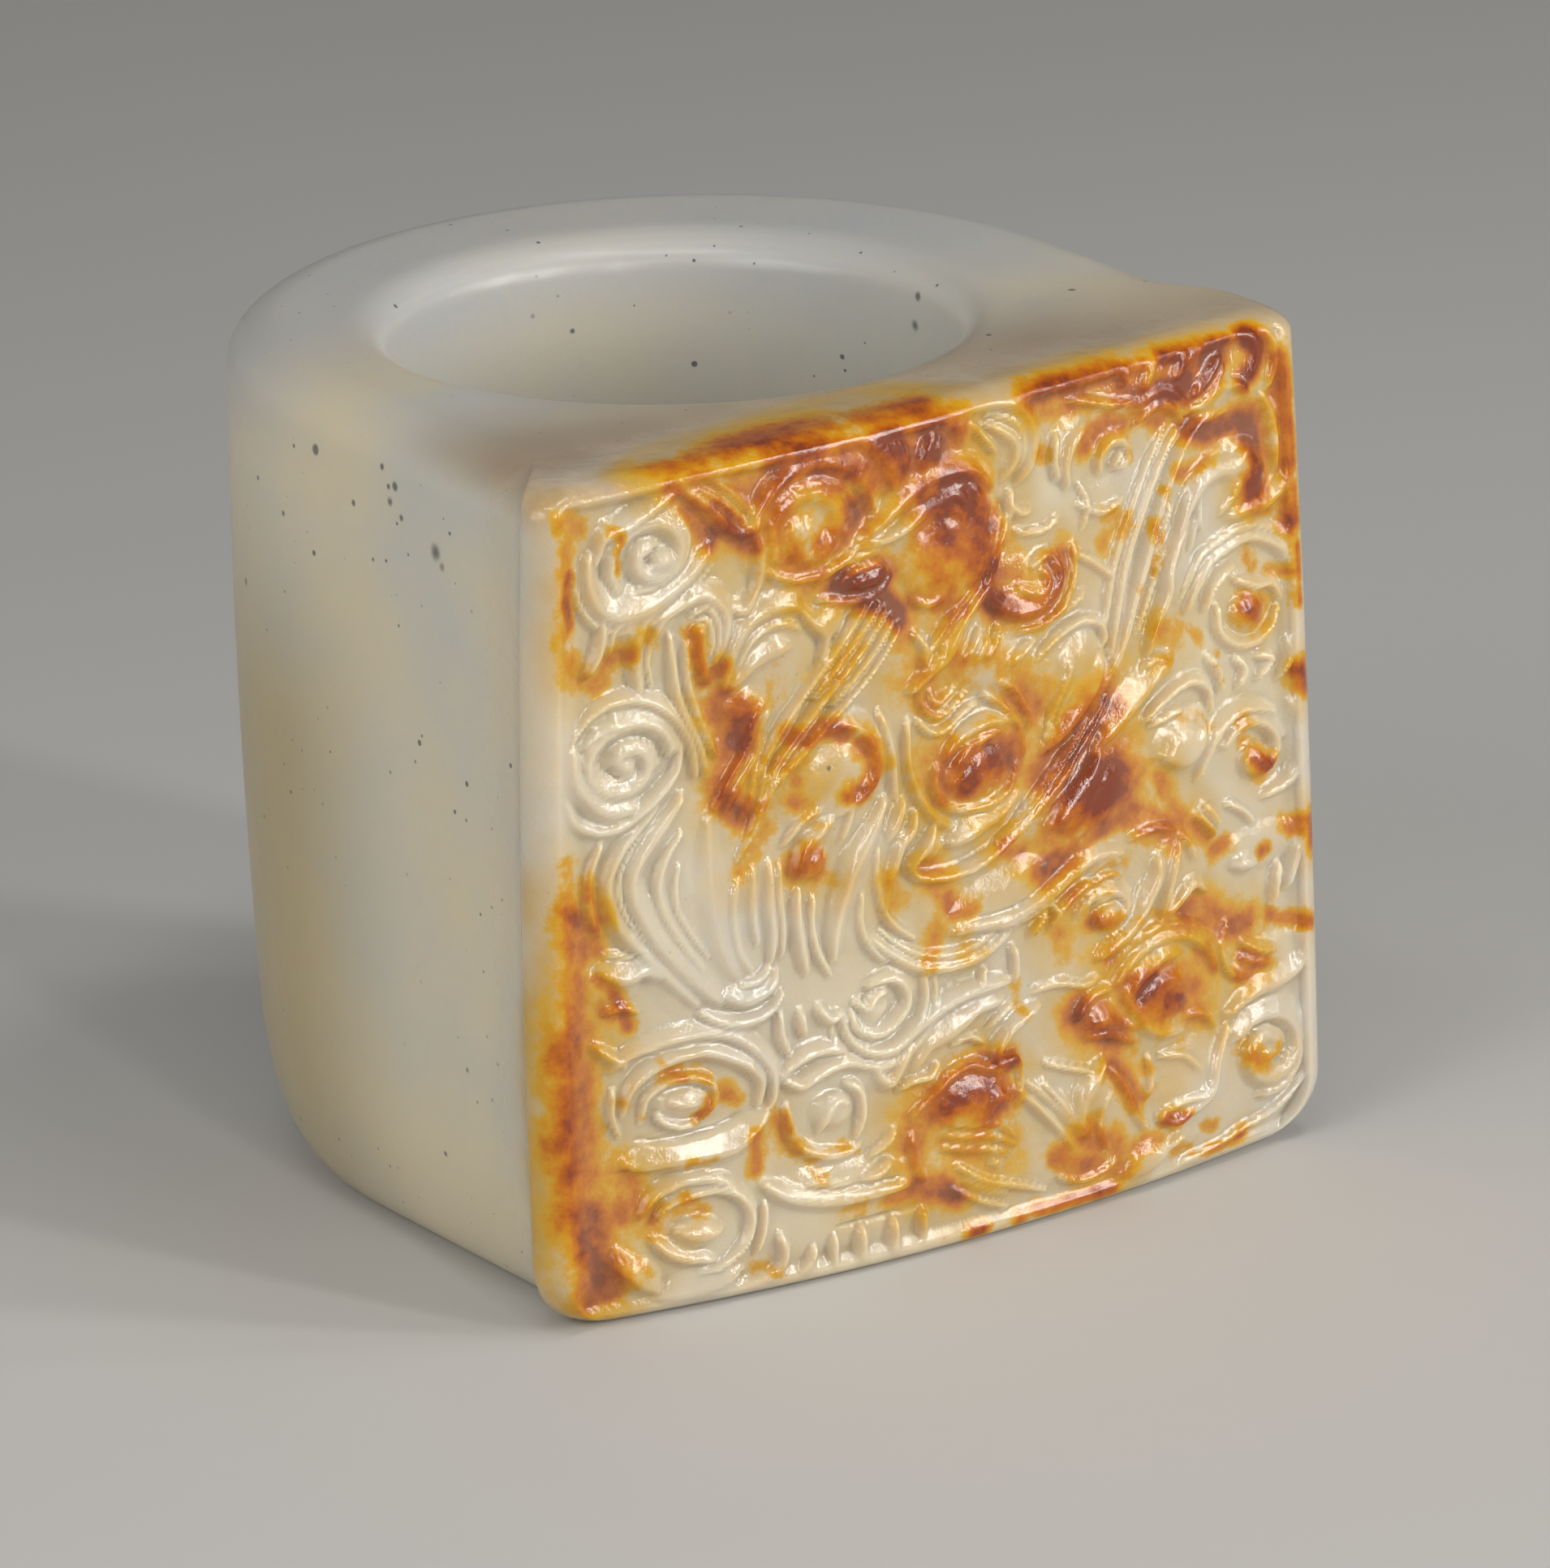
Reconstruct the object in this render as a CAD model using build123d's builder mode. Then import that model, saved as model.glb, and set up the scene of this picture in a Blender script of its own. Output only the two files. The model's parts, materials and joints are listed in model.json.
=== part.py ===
from build123d import *
from collections import namedtuple
from math import asin, cos, radians, sin, sqrt
import os

# Archer's thumb ring in carved jade, standing on its end with the bore upright.
# The origin is the bore's axis at the foot; the carved panel faces -Y.
# All sizes are in millimetres.

# Bore
ring_height = 30.0
bore_radius = 10.0
lip_radius = 0.7

# Walls round the bore, at the middle of the height
left_wall = 5.1
right_wall = 6.7
back_wall = 6.5
panel_wall = 4.0

# Panel: how far it bows forward, and how far it laps past each side of the ring
panel_bow = 1.25
lap_left = 0.35
lap_right = 0.95
lap_left_depth = 1.3
lap_left_slope = 0.5
lap_right_depth = 2.6
lap_right_slope = 2.4
panel_corner = 1.0

# Soft edges, each a quarter ellipse: how high it is and how far it draws in
rim_high = 1.5
rim_in = 2.1
foot_high = 5.5
foot_in = 1.9
panel_rim_high = 0.9
panel_rim_in = 1.2
panel_foot_high = 2.5
panel_foot_side_in = 2.6
panel_foot_front_in = 1.1
edge_steps = 5
wall_levels = (0.4, 0.7)

# Carving: the ground is sunk below the face, and the motifs keep the face's level
relief_depth = 0.5
margin_left = 1.3
margin_right = 0.8
margin_top = 0.35
margin_foot = 1.4
stem_width = 0.5
scroll_width = 0.42
strand_width = 0.3

# Shares of the walls and of the bow at three heights, for a ring cut by hand
Girth = namedtuple("Girth", "left right back face_left face_right lap bow")
foot_girth = Girth(left=0.90, right=0.98, back=0.89, face_left=1.12, face_right=1.03, lap=0.95, bow=1.28)
waist_girth = Girth(left=1.00, right=1.00, back=1.00, face_left=1.11, face_right=0.86, lap=1.00, bow=1.00)
rim_girth = Girth(left=0.95, right=1.04, back=1.06, face_left=1.28, face_right=0.62, lap=0.75, bow=0.64)

# The carver's grid covers the panel, and the motifs are charted in its cells
# from the panel's lower left corner.
grid_columns = 33
grid_rows = 30

Scroll = namedtuple("Scroll", "across up reach turns start hand")
scrolls = [
    Scroll(across=4.4, up=27.2, reach=2.1, turns=1.5, start=-30, hand=1),
    Scroll(across=3.1, up=20.4, reach=2.1, turns=1.5, start=0, hand=-1),
    Scroll(across=10.6, up=26.8, reach=2.2, turns=1.5, start=190, hand=-1),
    Scroll(across=5.6, up=7.8, reach=2.0, turns=1.0, start=190, hand=-1),
    Scroll(across=5.6, up=3.1, reach=1.6, turns=1.0, start=170, hand=-1),
    Scroll(across=10.8, up=6.3, reach=2.0, turns=0.5, start=0, hand=1),
    Scroll(across=13.2, up=9.3, reach=1.1, turns=0.5, start=180, hand=-1),
    Scroll(across=30.2, up=19.9, reach=2.3, turns=1.0, start=210, hand=-1),
    Scroll(across=29.9, up=14.5, reach=2.2, turns=1.5, start=170, hand=-1),
    Scroll(across=29.7, up=4.3, reach=2.2, turns=1.5, start=200, hand=-1),
    Scroll(across=22.7, up=10.8, reach=1.5, turns=1.0, start=200, hand=-1),
    Scroll(across=20.3, up=23.2, reach=1.4, turns=1.0, start=180, hand=1),
]

Stem = namedtuple("Stem", "name route")
stems = [
    Stem("upper body ridge", [(27.3, 26.8), (24.5, 23.0), (23.4, 19.4), (20.2, 15.8), (16.0, 13.6)]),
    Stem("lower body ridge", [(30.4, 26.8), (27.4, 26.1), (25.0, 21.4), (22.4, 17.0), (19.4, 14.7)]),
    Stem("back fold", [(29.8, 25.3), (27.0, 23.6), (25.6, 19.6), (23.7, 17.0)]),
    Stem("brow", [(12.8, 25.9), (16.0, 26.9), (18.8, 26.4), (18.4, 24.0), (16.0, 21.2)]),
    Stem("crest", [(13.4, 27.4), (15.8, 28.4), (17.8, 28.6)]),
    Stem("cheek", [(15.4, 20.2), (17.0, 19.2), (19.6, 20.2)]),
    Stem("outer breast fold", [(5.6, 18.6), (3.3, 16.0), (4.6, 12.6), (8.0, 10.9)]),
    Stem("inner breast fold", [(5.6, 17.0), (4.6, 14.8), (6.3, 11.9)]),
    Stem("plume", [(13.5, 17.2), (12.2, 15.4), (11.2, 12.0)]),
    Stem("plume tip", [(14.3, 16.4), (13.6, 14.0), (13.9, 12.4)]),
    Stem("tail bend", [(14.9, 12.2), (16.6, 10.5), (19.4, 11.4), (23.0, 13.2)]),
    Stem("cloud bar", [(3.0, 6.0), (5.6, 5.7), (8.0, 6.2)]),
    Stem("rooted cloud", [(13.6, 7.4), (15.6, 8.8), (18.6, 9.6)]),
    Stem("wave", [(7.6, 3.3), (10.6, 3.5), (13.4, 3.3)]),
    Stem("leaf", [(23.2, 7.3), (24.6, 8.5), (26.2, 8.9)]),
    Stem("claw", [(15.6, 5.4), (17.4, 4.9), (19.0, 3.6)]),
    Stem("crested wave", [(24.6, 2.6), (26.8, 3.0), (27.8, 4.6)]),
    Stem("lower wave", [(22.8, 1.9), (24.4, 2.1), (26.0, 2.0)]),
    Stem("right cloud", [(26.6, 6.4), (29.6, 6.5), (31.6, 7.8)]),
    Stem("top fold", [(19.6, 29.2), (20.1, 28.0), (19.8, 26.8)]),
    Stem("second top fold", [(21.6, 28.0), (21.7, 27.0), (22.4, 26.3)]),
    Stem("mane", [(25.0, 29.2), (27.4, 28.6), (29.4, 28.4)]),
    Stem("ear", [(31.0, 29.2), (31.6, 28.3), (31.2, 27.4)]),
    Stem("left cloud arm", [(2.0, 24.4), (4.0, 25.0), (5.8, 25.0), (7.4, 25.8)]),
    Stem("finger", [(6.0, 24.4), (6.6, 22.8), (7.2, 20.6)]),
]

# The beard is a fan of strands that run from its root to its tips
beard_root = [(14.2, 23.4), (12.0, 24.0)]
beard_tip = [(11.2, 19.7), (9.2, 20.8)]
beard_strands = 5

# Low rounded forms: centre, half width and half height
Boss = namedtuple("Boss", "across up wide high")
bosses = [
    Boss(across=12.9, up=24.7, wide=1.1, high=0.42),
    Boss(across=17.6, up=17.2, wide=1.6, high=1.3),
    Boss(across=11.4, up=18.4, wide=1.7, high=1.4),
    Boss(across=21.6, up=18.2, wide=1.0, high=1.4),
    Boss(across=25.2, up=7.1, wide=1.2, high=0.9),
    Boss(across=21.6, up=3.2, wide=1.2, high=0.9),
    Boss(across=8.6, up=21.3, wide=1.2, high=1.0),
    Boss(across=26.9, up=15.7, wide=0.9, high=0.6),
]

panel_left = -(bore_radius + left_wall + lap_left)
panel_right = bore_radius + right_wall + lap_right
cell_wide = (panel_right - panel_left) / grid_columns
cell_high = ring_height / grid_rows

# Cuts into the panel run clear of its front, and what stands on the ground starts half-way to the bore
carve_reach = 1.5 * (bore_radius + panel_wall + panel_bow)
air_reach = 1.2 * carve_reach
skin_start = (panel_wall * rim_girth.face_right - relief_depth) / 2
ground_levels = (0.0, 0.25, 0.5, 0.75, 1.0)


def between(foot, waist, rim, height):
    """A share that passes through its values at the foot, the waist and the rim."""
    up = height / ring_height
    return foot * (1 - up) * (1 - 2 * up) + waist * 4 * up * (1 - up) + rim * up * (2 * up - 1)


def drawn_in(height, foot_rise, foot_reach, rim_rise, rim_reach):
    """How far a soft edge draws the outline in at a height."""
    if height < foot_rise:
        return foot_reach * (1 - cos(asin(1 - height / foot_rise)))
    if ring_height - height < rim_rise:
        return rim_reach * (1 - cos(asin(1 - (ring_height - height) / rim_rise)))
    return 0.0


def girth_at(height):
    """Shares of the walls and of the bow at a height."""
    shares = zip(foot_girth, waist_girth, rim_girth)
    return Girth(*(between(foot, waist, rim, height) for foot, waist, rim in shares))


def face_points(height, sunk=0.0, side_in=0.0):
    """Left end, middle and right end of the panel's bowed face at a height."""
    girth = girth_at(height)
    left = panel_left + side_in
    right = bore_radius + right_wall * girth.right + lap_right * girth.lap - side_in
    left_y = sunk - bore_radius - panel_wall * girth.face_left
    right_y = sunk - bore_radius - panel_wall * girth.face_right
    middle = ((left + right) / 2, (left_y + right_y) / 2 - panel_bow * girth.bow)
    return (left, left_y), middle, (right, right_y)


def corner_ends(face_arc, side, inward):
    """Where a panel corner's rounding leaves the side and where it meets the face."""
    centre = face_arc.arc_center
    reach = face_arc.radius - panel_corner
    corner_x = side + inward * panel_corner
    corner_y = centre.Y - sqrt(reach ** 2 - (corner_x - centre.X) ** 2)
    stretch = face_arc.radius / reach
    on_face = (centre.X + (corner_x - centre.X) * stretch, centre.Y + (corner_y - centre.Y) * stretch)
    return (side, corner_y), on_face


def on_panel(across, up):
    """A place on the carver's grid, in the frame of the front view."""
    return panel_left + across * cell_wide, up * cell_high


def scroll_ends(scroll):
    """Places and half-way places of a scroll's half turns, from its outer end in."""
    places = []
    quarter_turns = int(4 * scroll.turns)
    for quarter in range(quarter_turns + 1):
        angle = radians(scroll.start + scroll.hand * 90 * quarter)
        reach = scroll.reach - (scroll.reach - 2 * scroll_width) * quarter / max(quarter_turns, 4)
        places.append(on_panel(scroll.across + reach * cos(angle), scroll.up + reach * sin(angle)))
    return places


def scroll_outline(scroll):
    """A scroll's band, seen from the front."""
    places = scroll_ends(scroll)
    with BuildSketch(Plane.XZ) as band:
        with BuildLine():
            for first in range(0, len(places) - 2, 2):
                ThreePointArc(*places[first:first + 3])
        trace(line_width=scroll_width)
    return band.sketch


def stem_outline(route, width):
    """A band along a route over the carver's grid, seen from the front."""
    with BuildSketch(Plane.XZ) as band:
        with BuildLine():
            Spline(*(on_panel(*place) for place in route))
        trace(line_width=width)
    return band.sketch


def strand_route(strand):
    """A beard strand's root and tip."""
    share = strand / (beard_strands - 1)
    return [
        tuple(first + (last - first) * share for first, last in zip(*ends))
        for ends in (beard_root, beard_tip)
    ]


def boss_outline(boss):
    """A boss seen from the front."""
    with BuildSketch(Plane.XZ) as oval:
        with Locations(on_panel(boss.across, boss.up)):
            Ellipse(boss.wide * cell_wide, boss.high * cell_high)
    return oval.sketch


# Heights of the sections: even steps of angle round the soft edges, and a few levels on the walls
turn_angles = [90 * step / edge_steps for step in range(edge_steps + 1)]
section_heights = sorted(
    {foot_high * (1 - sin(radians(angle))) for angle in turn_angles}
    | {ring_height * level for level in wall_levels}
    | {ring_height - rim_high * (1 - sin(radians(angle))) for angle in turn_angles}
)

# Space in front of the sunk ground, which follows the panel's lean and bow
with BuildPart() as panel_air:
    for level in ground_levels:
        with BuildSketch(Plane.XY.offset(level * ring_height)):
            with BuildLine():
                start, middle, end = face_points(level * ring_height, sunk=relief_depth)
                ThreePointArc(start, middle, end)
                Polyline(end, (end[0], -air_reach), (start[0], -air_reach), start)
            make_face()
    loft(ruled=True)

# Field of the carving, sunk below the face
with BuildPart() as sunk_field:
    field_left = panel_left + margin_left
    field_right = panel_right - margin_right
    field_top = ring_height - margin_top
    with BuildSketch(Plane.XZ):
        with Locations(((field_left + field_right) / 2, (margin_foot + field_top) / 2)):
            RectangleRounded(field_right - field_left, field_top - margin_foot, panel_corner)
    extrude(amount=carve_reach)
    add(panel_air.part, mode=Mode.INTERSECT)

# Outer form of the ring, with no bore
with BuildPart() as ring_form:
    for height in section_heights:
        girth = girth_at(height)
        body_in = drawn_in(height, foot_high, foot_in, rim_high, rim_in)
        side_in = drawn_in(height, panel_foot_high, panel_foot_side_in, panel_rim_high, panel_rim_in)
        front_in = drawn_in(height, panel_foot_high, panel_foot_front_in, panel_rim_high, panel_rim_in)
        left = body_in - bore_radius - left_wall * girth.left
        right = bore_radius + right_wall * girth.right - body_in
        back = bore_radius + back_wall * girth.back - body_in
        shoulder = back - (right - left) / 2
        start, middle, end = face_points(height, sunk=front_in, side_in=side_in)
        face_arc = ThreePointArc(start, middle, end, mode=Mode.PRIVATE)
        left_side, left_face = corner_ends(face_arc, start[0], 1)
        right_side, right_face = corner_ends(face_arc, end[0], -1)
        with BuildSketch(Plane.XY.offset(height)):
            with BuildLine():
                TangentArc(left_side, left_face, tangent=(0, -1))
                ThreePointArc(left_face, middle, right_face)
                TangentArc(right_side, right_face, tangent=(0, -1))
                Polyline(
                    right_side,
                    (end[0], end[1] + lap_right_depth),
                    (right, end[1] + lap_right_depth + lap_right_slope),
                    (right, shoulder),
                )
                ThreePointArc((right, shoulder), ((left + right) / 2, back), (left, shoulder))
                Polyline(
                    (left, shoulder),
                    (left, start[1] + lap_left_depth + lap_left_slope),
                    (start[0], start[1] + lap_left_depth),
                    left_side,
                )
            make_face()
    loft(ruled=True)

# Skin of the panel, which the motifs are cut from: it starts below the ground
with BuildPart() as panel_skin:
    add(ring_form.part)
    with BuildSketch(Plane.XZ.offset(bore_radius + skin_start)):
        Rectangle(2 * carve_reach, 3 * ring_height)
    extrude(amount=carve_reach, mode=Mode.INTERSECT)

# Motifs, each cut from the skin, so that its top keeps the face's bow and lean
outlines = [scroll_outline(scroll) for scroll in scrolls]
outlines += [stem_outline(stem.route, stem_width) for stem in stems]
outlines += [stem_outline(strand_route(strand), strand_width) for strand in range(beard_strands)]
outlines += [boss_outline(boss) for boss in bosses]
motifs = []
for outline in outlines:
    with BuildPart() as motif:
        extrude(outline, amount=carve_reach, dir=(0, -1, 0))
        add(panel_skin.part, mode=Mode.INTERSECT)
    motifs.append(motif.part)

# The ring: its form, the bore with rounded lips, the sunk field and the motifs left standing on it
with BuildPart() as thumb_ring:
    add(ring_form.part)
    Hole(bore_radius)
    rims = thumb_ring.faces().filter_by(GeomType.PLANE).filter_by(Axis.Z)
    bore_lips = [edge for rim in rims for edge in rim.inner_wires()[0].edges()]
    fillet(bore_lips, radius=lip_radius)
    add(sunk_field.part, mode=Mode.SUBTRACT)
    add(motifs)

thumb_ring.part.label = "thumb_ring"
os.makedirs("parts", exist_ok=True)
export_step(thumb_ring.part, "parts/thumb_ring.step")
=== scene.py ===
import json
from collections import namedtuple
from math import cos, pi, radians, sin

import bpy
import numpy as np
from mathutils import Matrix, Vector


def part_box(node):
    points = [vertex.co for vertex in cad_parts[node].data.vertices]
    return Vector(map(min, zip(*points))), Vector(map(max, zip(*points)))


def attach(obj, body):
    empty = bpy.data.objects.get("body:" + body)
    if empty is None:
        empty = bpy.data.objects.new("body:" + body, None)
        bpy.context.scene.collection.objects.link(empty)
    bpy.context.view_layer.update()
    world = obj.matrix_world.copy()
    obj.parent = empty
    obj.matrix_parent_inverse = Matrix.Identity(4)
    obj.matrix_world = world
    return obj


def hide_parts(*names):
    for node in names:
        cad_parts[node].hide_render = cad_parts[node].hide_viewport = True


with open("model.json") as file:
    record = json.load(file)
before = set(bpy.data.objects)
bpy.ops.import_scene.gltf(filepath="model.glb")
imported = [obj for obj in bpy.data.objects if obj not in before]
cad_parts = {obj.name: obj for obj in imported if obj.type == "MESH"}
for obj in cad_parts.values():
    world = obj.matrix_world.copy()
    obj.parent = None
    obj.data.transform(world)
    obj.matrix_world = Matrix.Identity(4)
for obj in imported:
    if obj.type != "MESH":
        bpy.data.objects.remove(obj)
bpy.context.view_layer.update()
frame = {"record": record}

# A carved jade thumb ring. The tables are in millimetres, in the part's own frame:
# z runs up the bore, x across the carved panel, and the panel faces -y.
mm = 0.001
boreMount = next(mount for mount in frame["record"]["mounts"] if mount["name"] == "bore")

ring = {
    "height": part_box("thumb_ring")[1][2] / mm, "boreRadius": boreMount["dims"]["r_mm"],
    "leftWall": 5.1, "rightWall": 6.7, "backWall": 6.5,
    "panelWall": 4.0, "panelBow": 1.25, "panelCorner": 1.0,
    "lapLeft": 0.35, "lapLeftDepth": 1.3, "lapLeftSlope": 0.5, "slopeToStep": 1.1,
    "lapRight": 0.95, "lapRightDepth": 2.6, "lapRightSlope": 2.4,
    "rimHigh": 1.5, "rimIn": 2.1, "footHigh": 5.5, "footIn": 1.9,
    "panelRimHigh": 0.9, "panelRimIn": 1.2,
    "panelFootHigh": 2.5, "panelFootSideIn": 2.6, "panelFootFrontIn": 1.1,
    # the bore's lip, and how much wider and deeper it is worn towards one side (x, y)
    "lip": 0.7, "wornWider": 1.1, "wornDeeper": 0.5, "wornTowards": (0.56, 0.83),
    # the wall unrolls from the panel's right side as far as the seam, then from its left; the bore
    # and the foot count as unrolled far past every stain
    "seam": 20, "unstained": 60.0,
}

# how many rows and columns of the mesh each stretch has, and the turns (in degrees) at which rows
# lie where the foot and the rim turn over
counts = {
    "footTurn": (90, 84, 78, 72, 66), "wall": 222, "rimTurn": (50, 55, 60, 65, 70, 75, 80, 85, 90),
    "rim": 8, "topLip": 7, "bore": 9, "lowLip": 6, "foot": 6,
    "corner": 8, "face": 270, "rightLap": 5, "rightSlope": 7, "rightSide": 8, "back": 48,
    "leftSide": 10, "leftSlope": 4, "leftLap": 3, "softenFrom": 2, "softenings": 2, "grooveBlur": 14,
}

# shares of the walls and the bow at the foot, the waist and the rim
Girth = namedtuple("Girth", "left right back faceLeft faceRight lap bow")
girths = [
    Girth(left=0.90, right=0.98, back=0.89, faceLeft=1.12, faceRight=1.03, lap=0.95, bow=1.28),
    Girth(left=1.00, right=1.00, back=1.00, faceLeft=1.11, faceRight=0.86, lap=1.00, bow=1.00),
    Girth(left=0.95, right=1.04, back=1.06, faceLeft=1.28, faceRight=0.62, lap=0.75, bow=0.64),
]

# The carving, read from the front. A ridge has a steep side and a long scooped slope towards
# the light, and thins out at its ends by its taper.
carving = {
    "groundDepth": 0.55, "fieldLeft": -14.9, "fieldRight": 17.3, "fieldTop": 29.6, "fieldFoot": 0.3,
    "leftFade": 1.3, "rightFade": 1.2, "footFade": 0.7, "topFade": 0.5,
    "light": (0.30, 0.95), "slope": 2.0, "steepness": 0.5, "scoop": 1.12, "crown": 0.25,
    "endHigh": 0.45, "least": 0.02, "massEdge": 0.9, "deepest": 0.96,
    "scrollPoints": 16, "scrollLean": 0.6, "scrollTaper": 0.35, "ridgeTaper": 0.55,
    "echoGap": 0.45, "echoWide": 0.26, "echoHigh": 0.75, "echoTaper": 0.8,
    "waves": 7, "waver": 0.05, "waverLong": 3.4, "waverShort": 1.1, "waverShortShare": 0.35,
}

# scrolls: centre, outer reach and inner eye, turns from a start angle, and the ridge along them
Scroll = namedtuple("Scroll", "x z reach eye turns start hand wide high flat")
scrolls = [
    Scroll(-10.9, 27, 1.75, 0.4, 1.3, 215, -1, 0.48, 0.44, 0.85),
    Scroll(-12.1, 19.9, 1.95, 0.45, 1.35, 10, 1, 0.5, 0.46, 0.82),
    Scroll(-4.6, 26.7, 1.65, 0.75, 1.15, 205, -1, 0.5, 0.46, 0.9),
    Scroll(14.9, 3.6, 1.75, 0.45, 1.4, 140, -1, 0.48, 0.46, 0.85),
    Scroll(14.8, 14.5, 1.55, 0.5, 0.9, 150, -1, 0.36, 0.44, 0.85),
    Scroll(7.6, 10.5, 1.25, 0.5, 0.9, 160, -1, 0.3, 0.4, 0.7),
    Scroll(9, 26.4, 0.85, 0.35, 0.8, 200, -1, 0.26, 0.42, 0.9),
]

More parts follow.
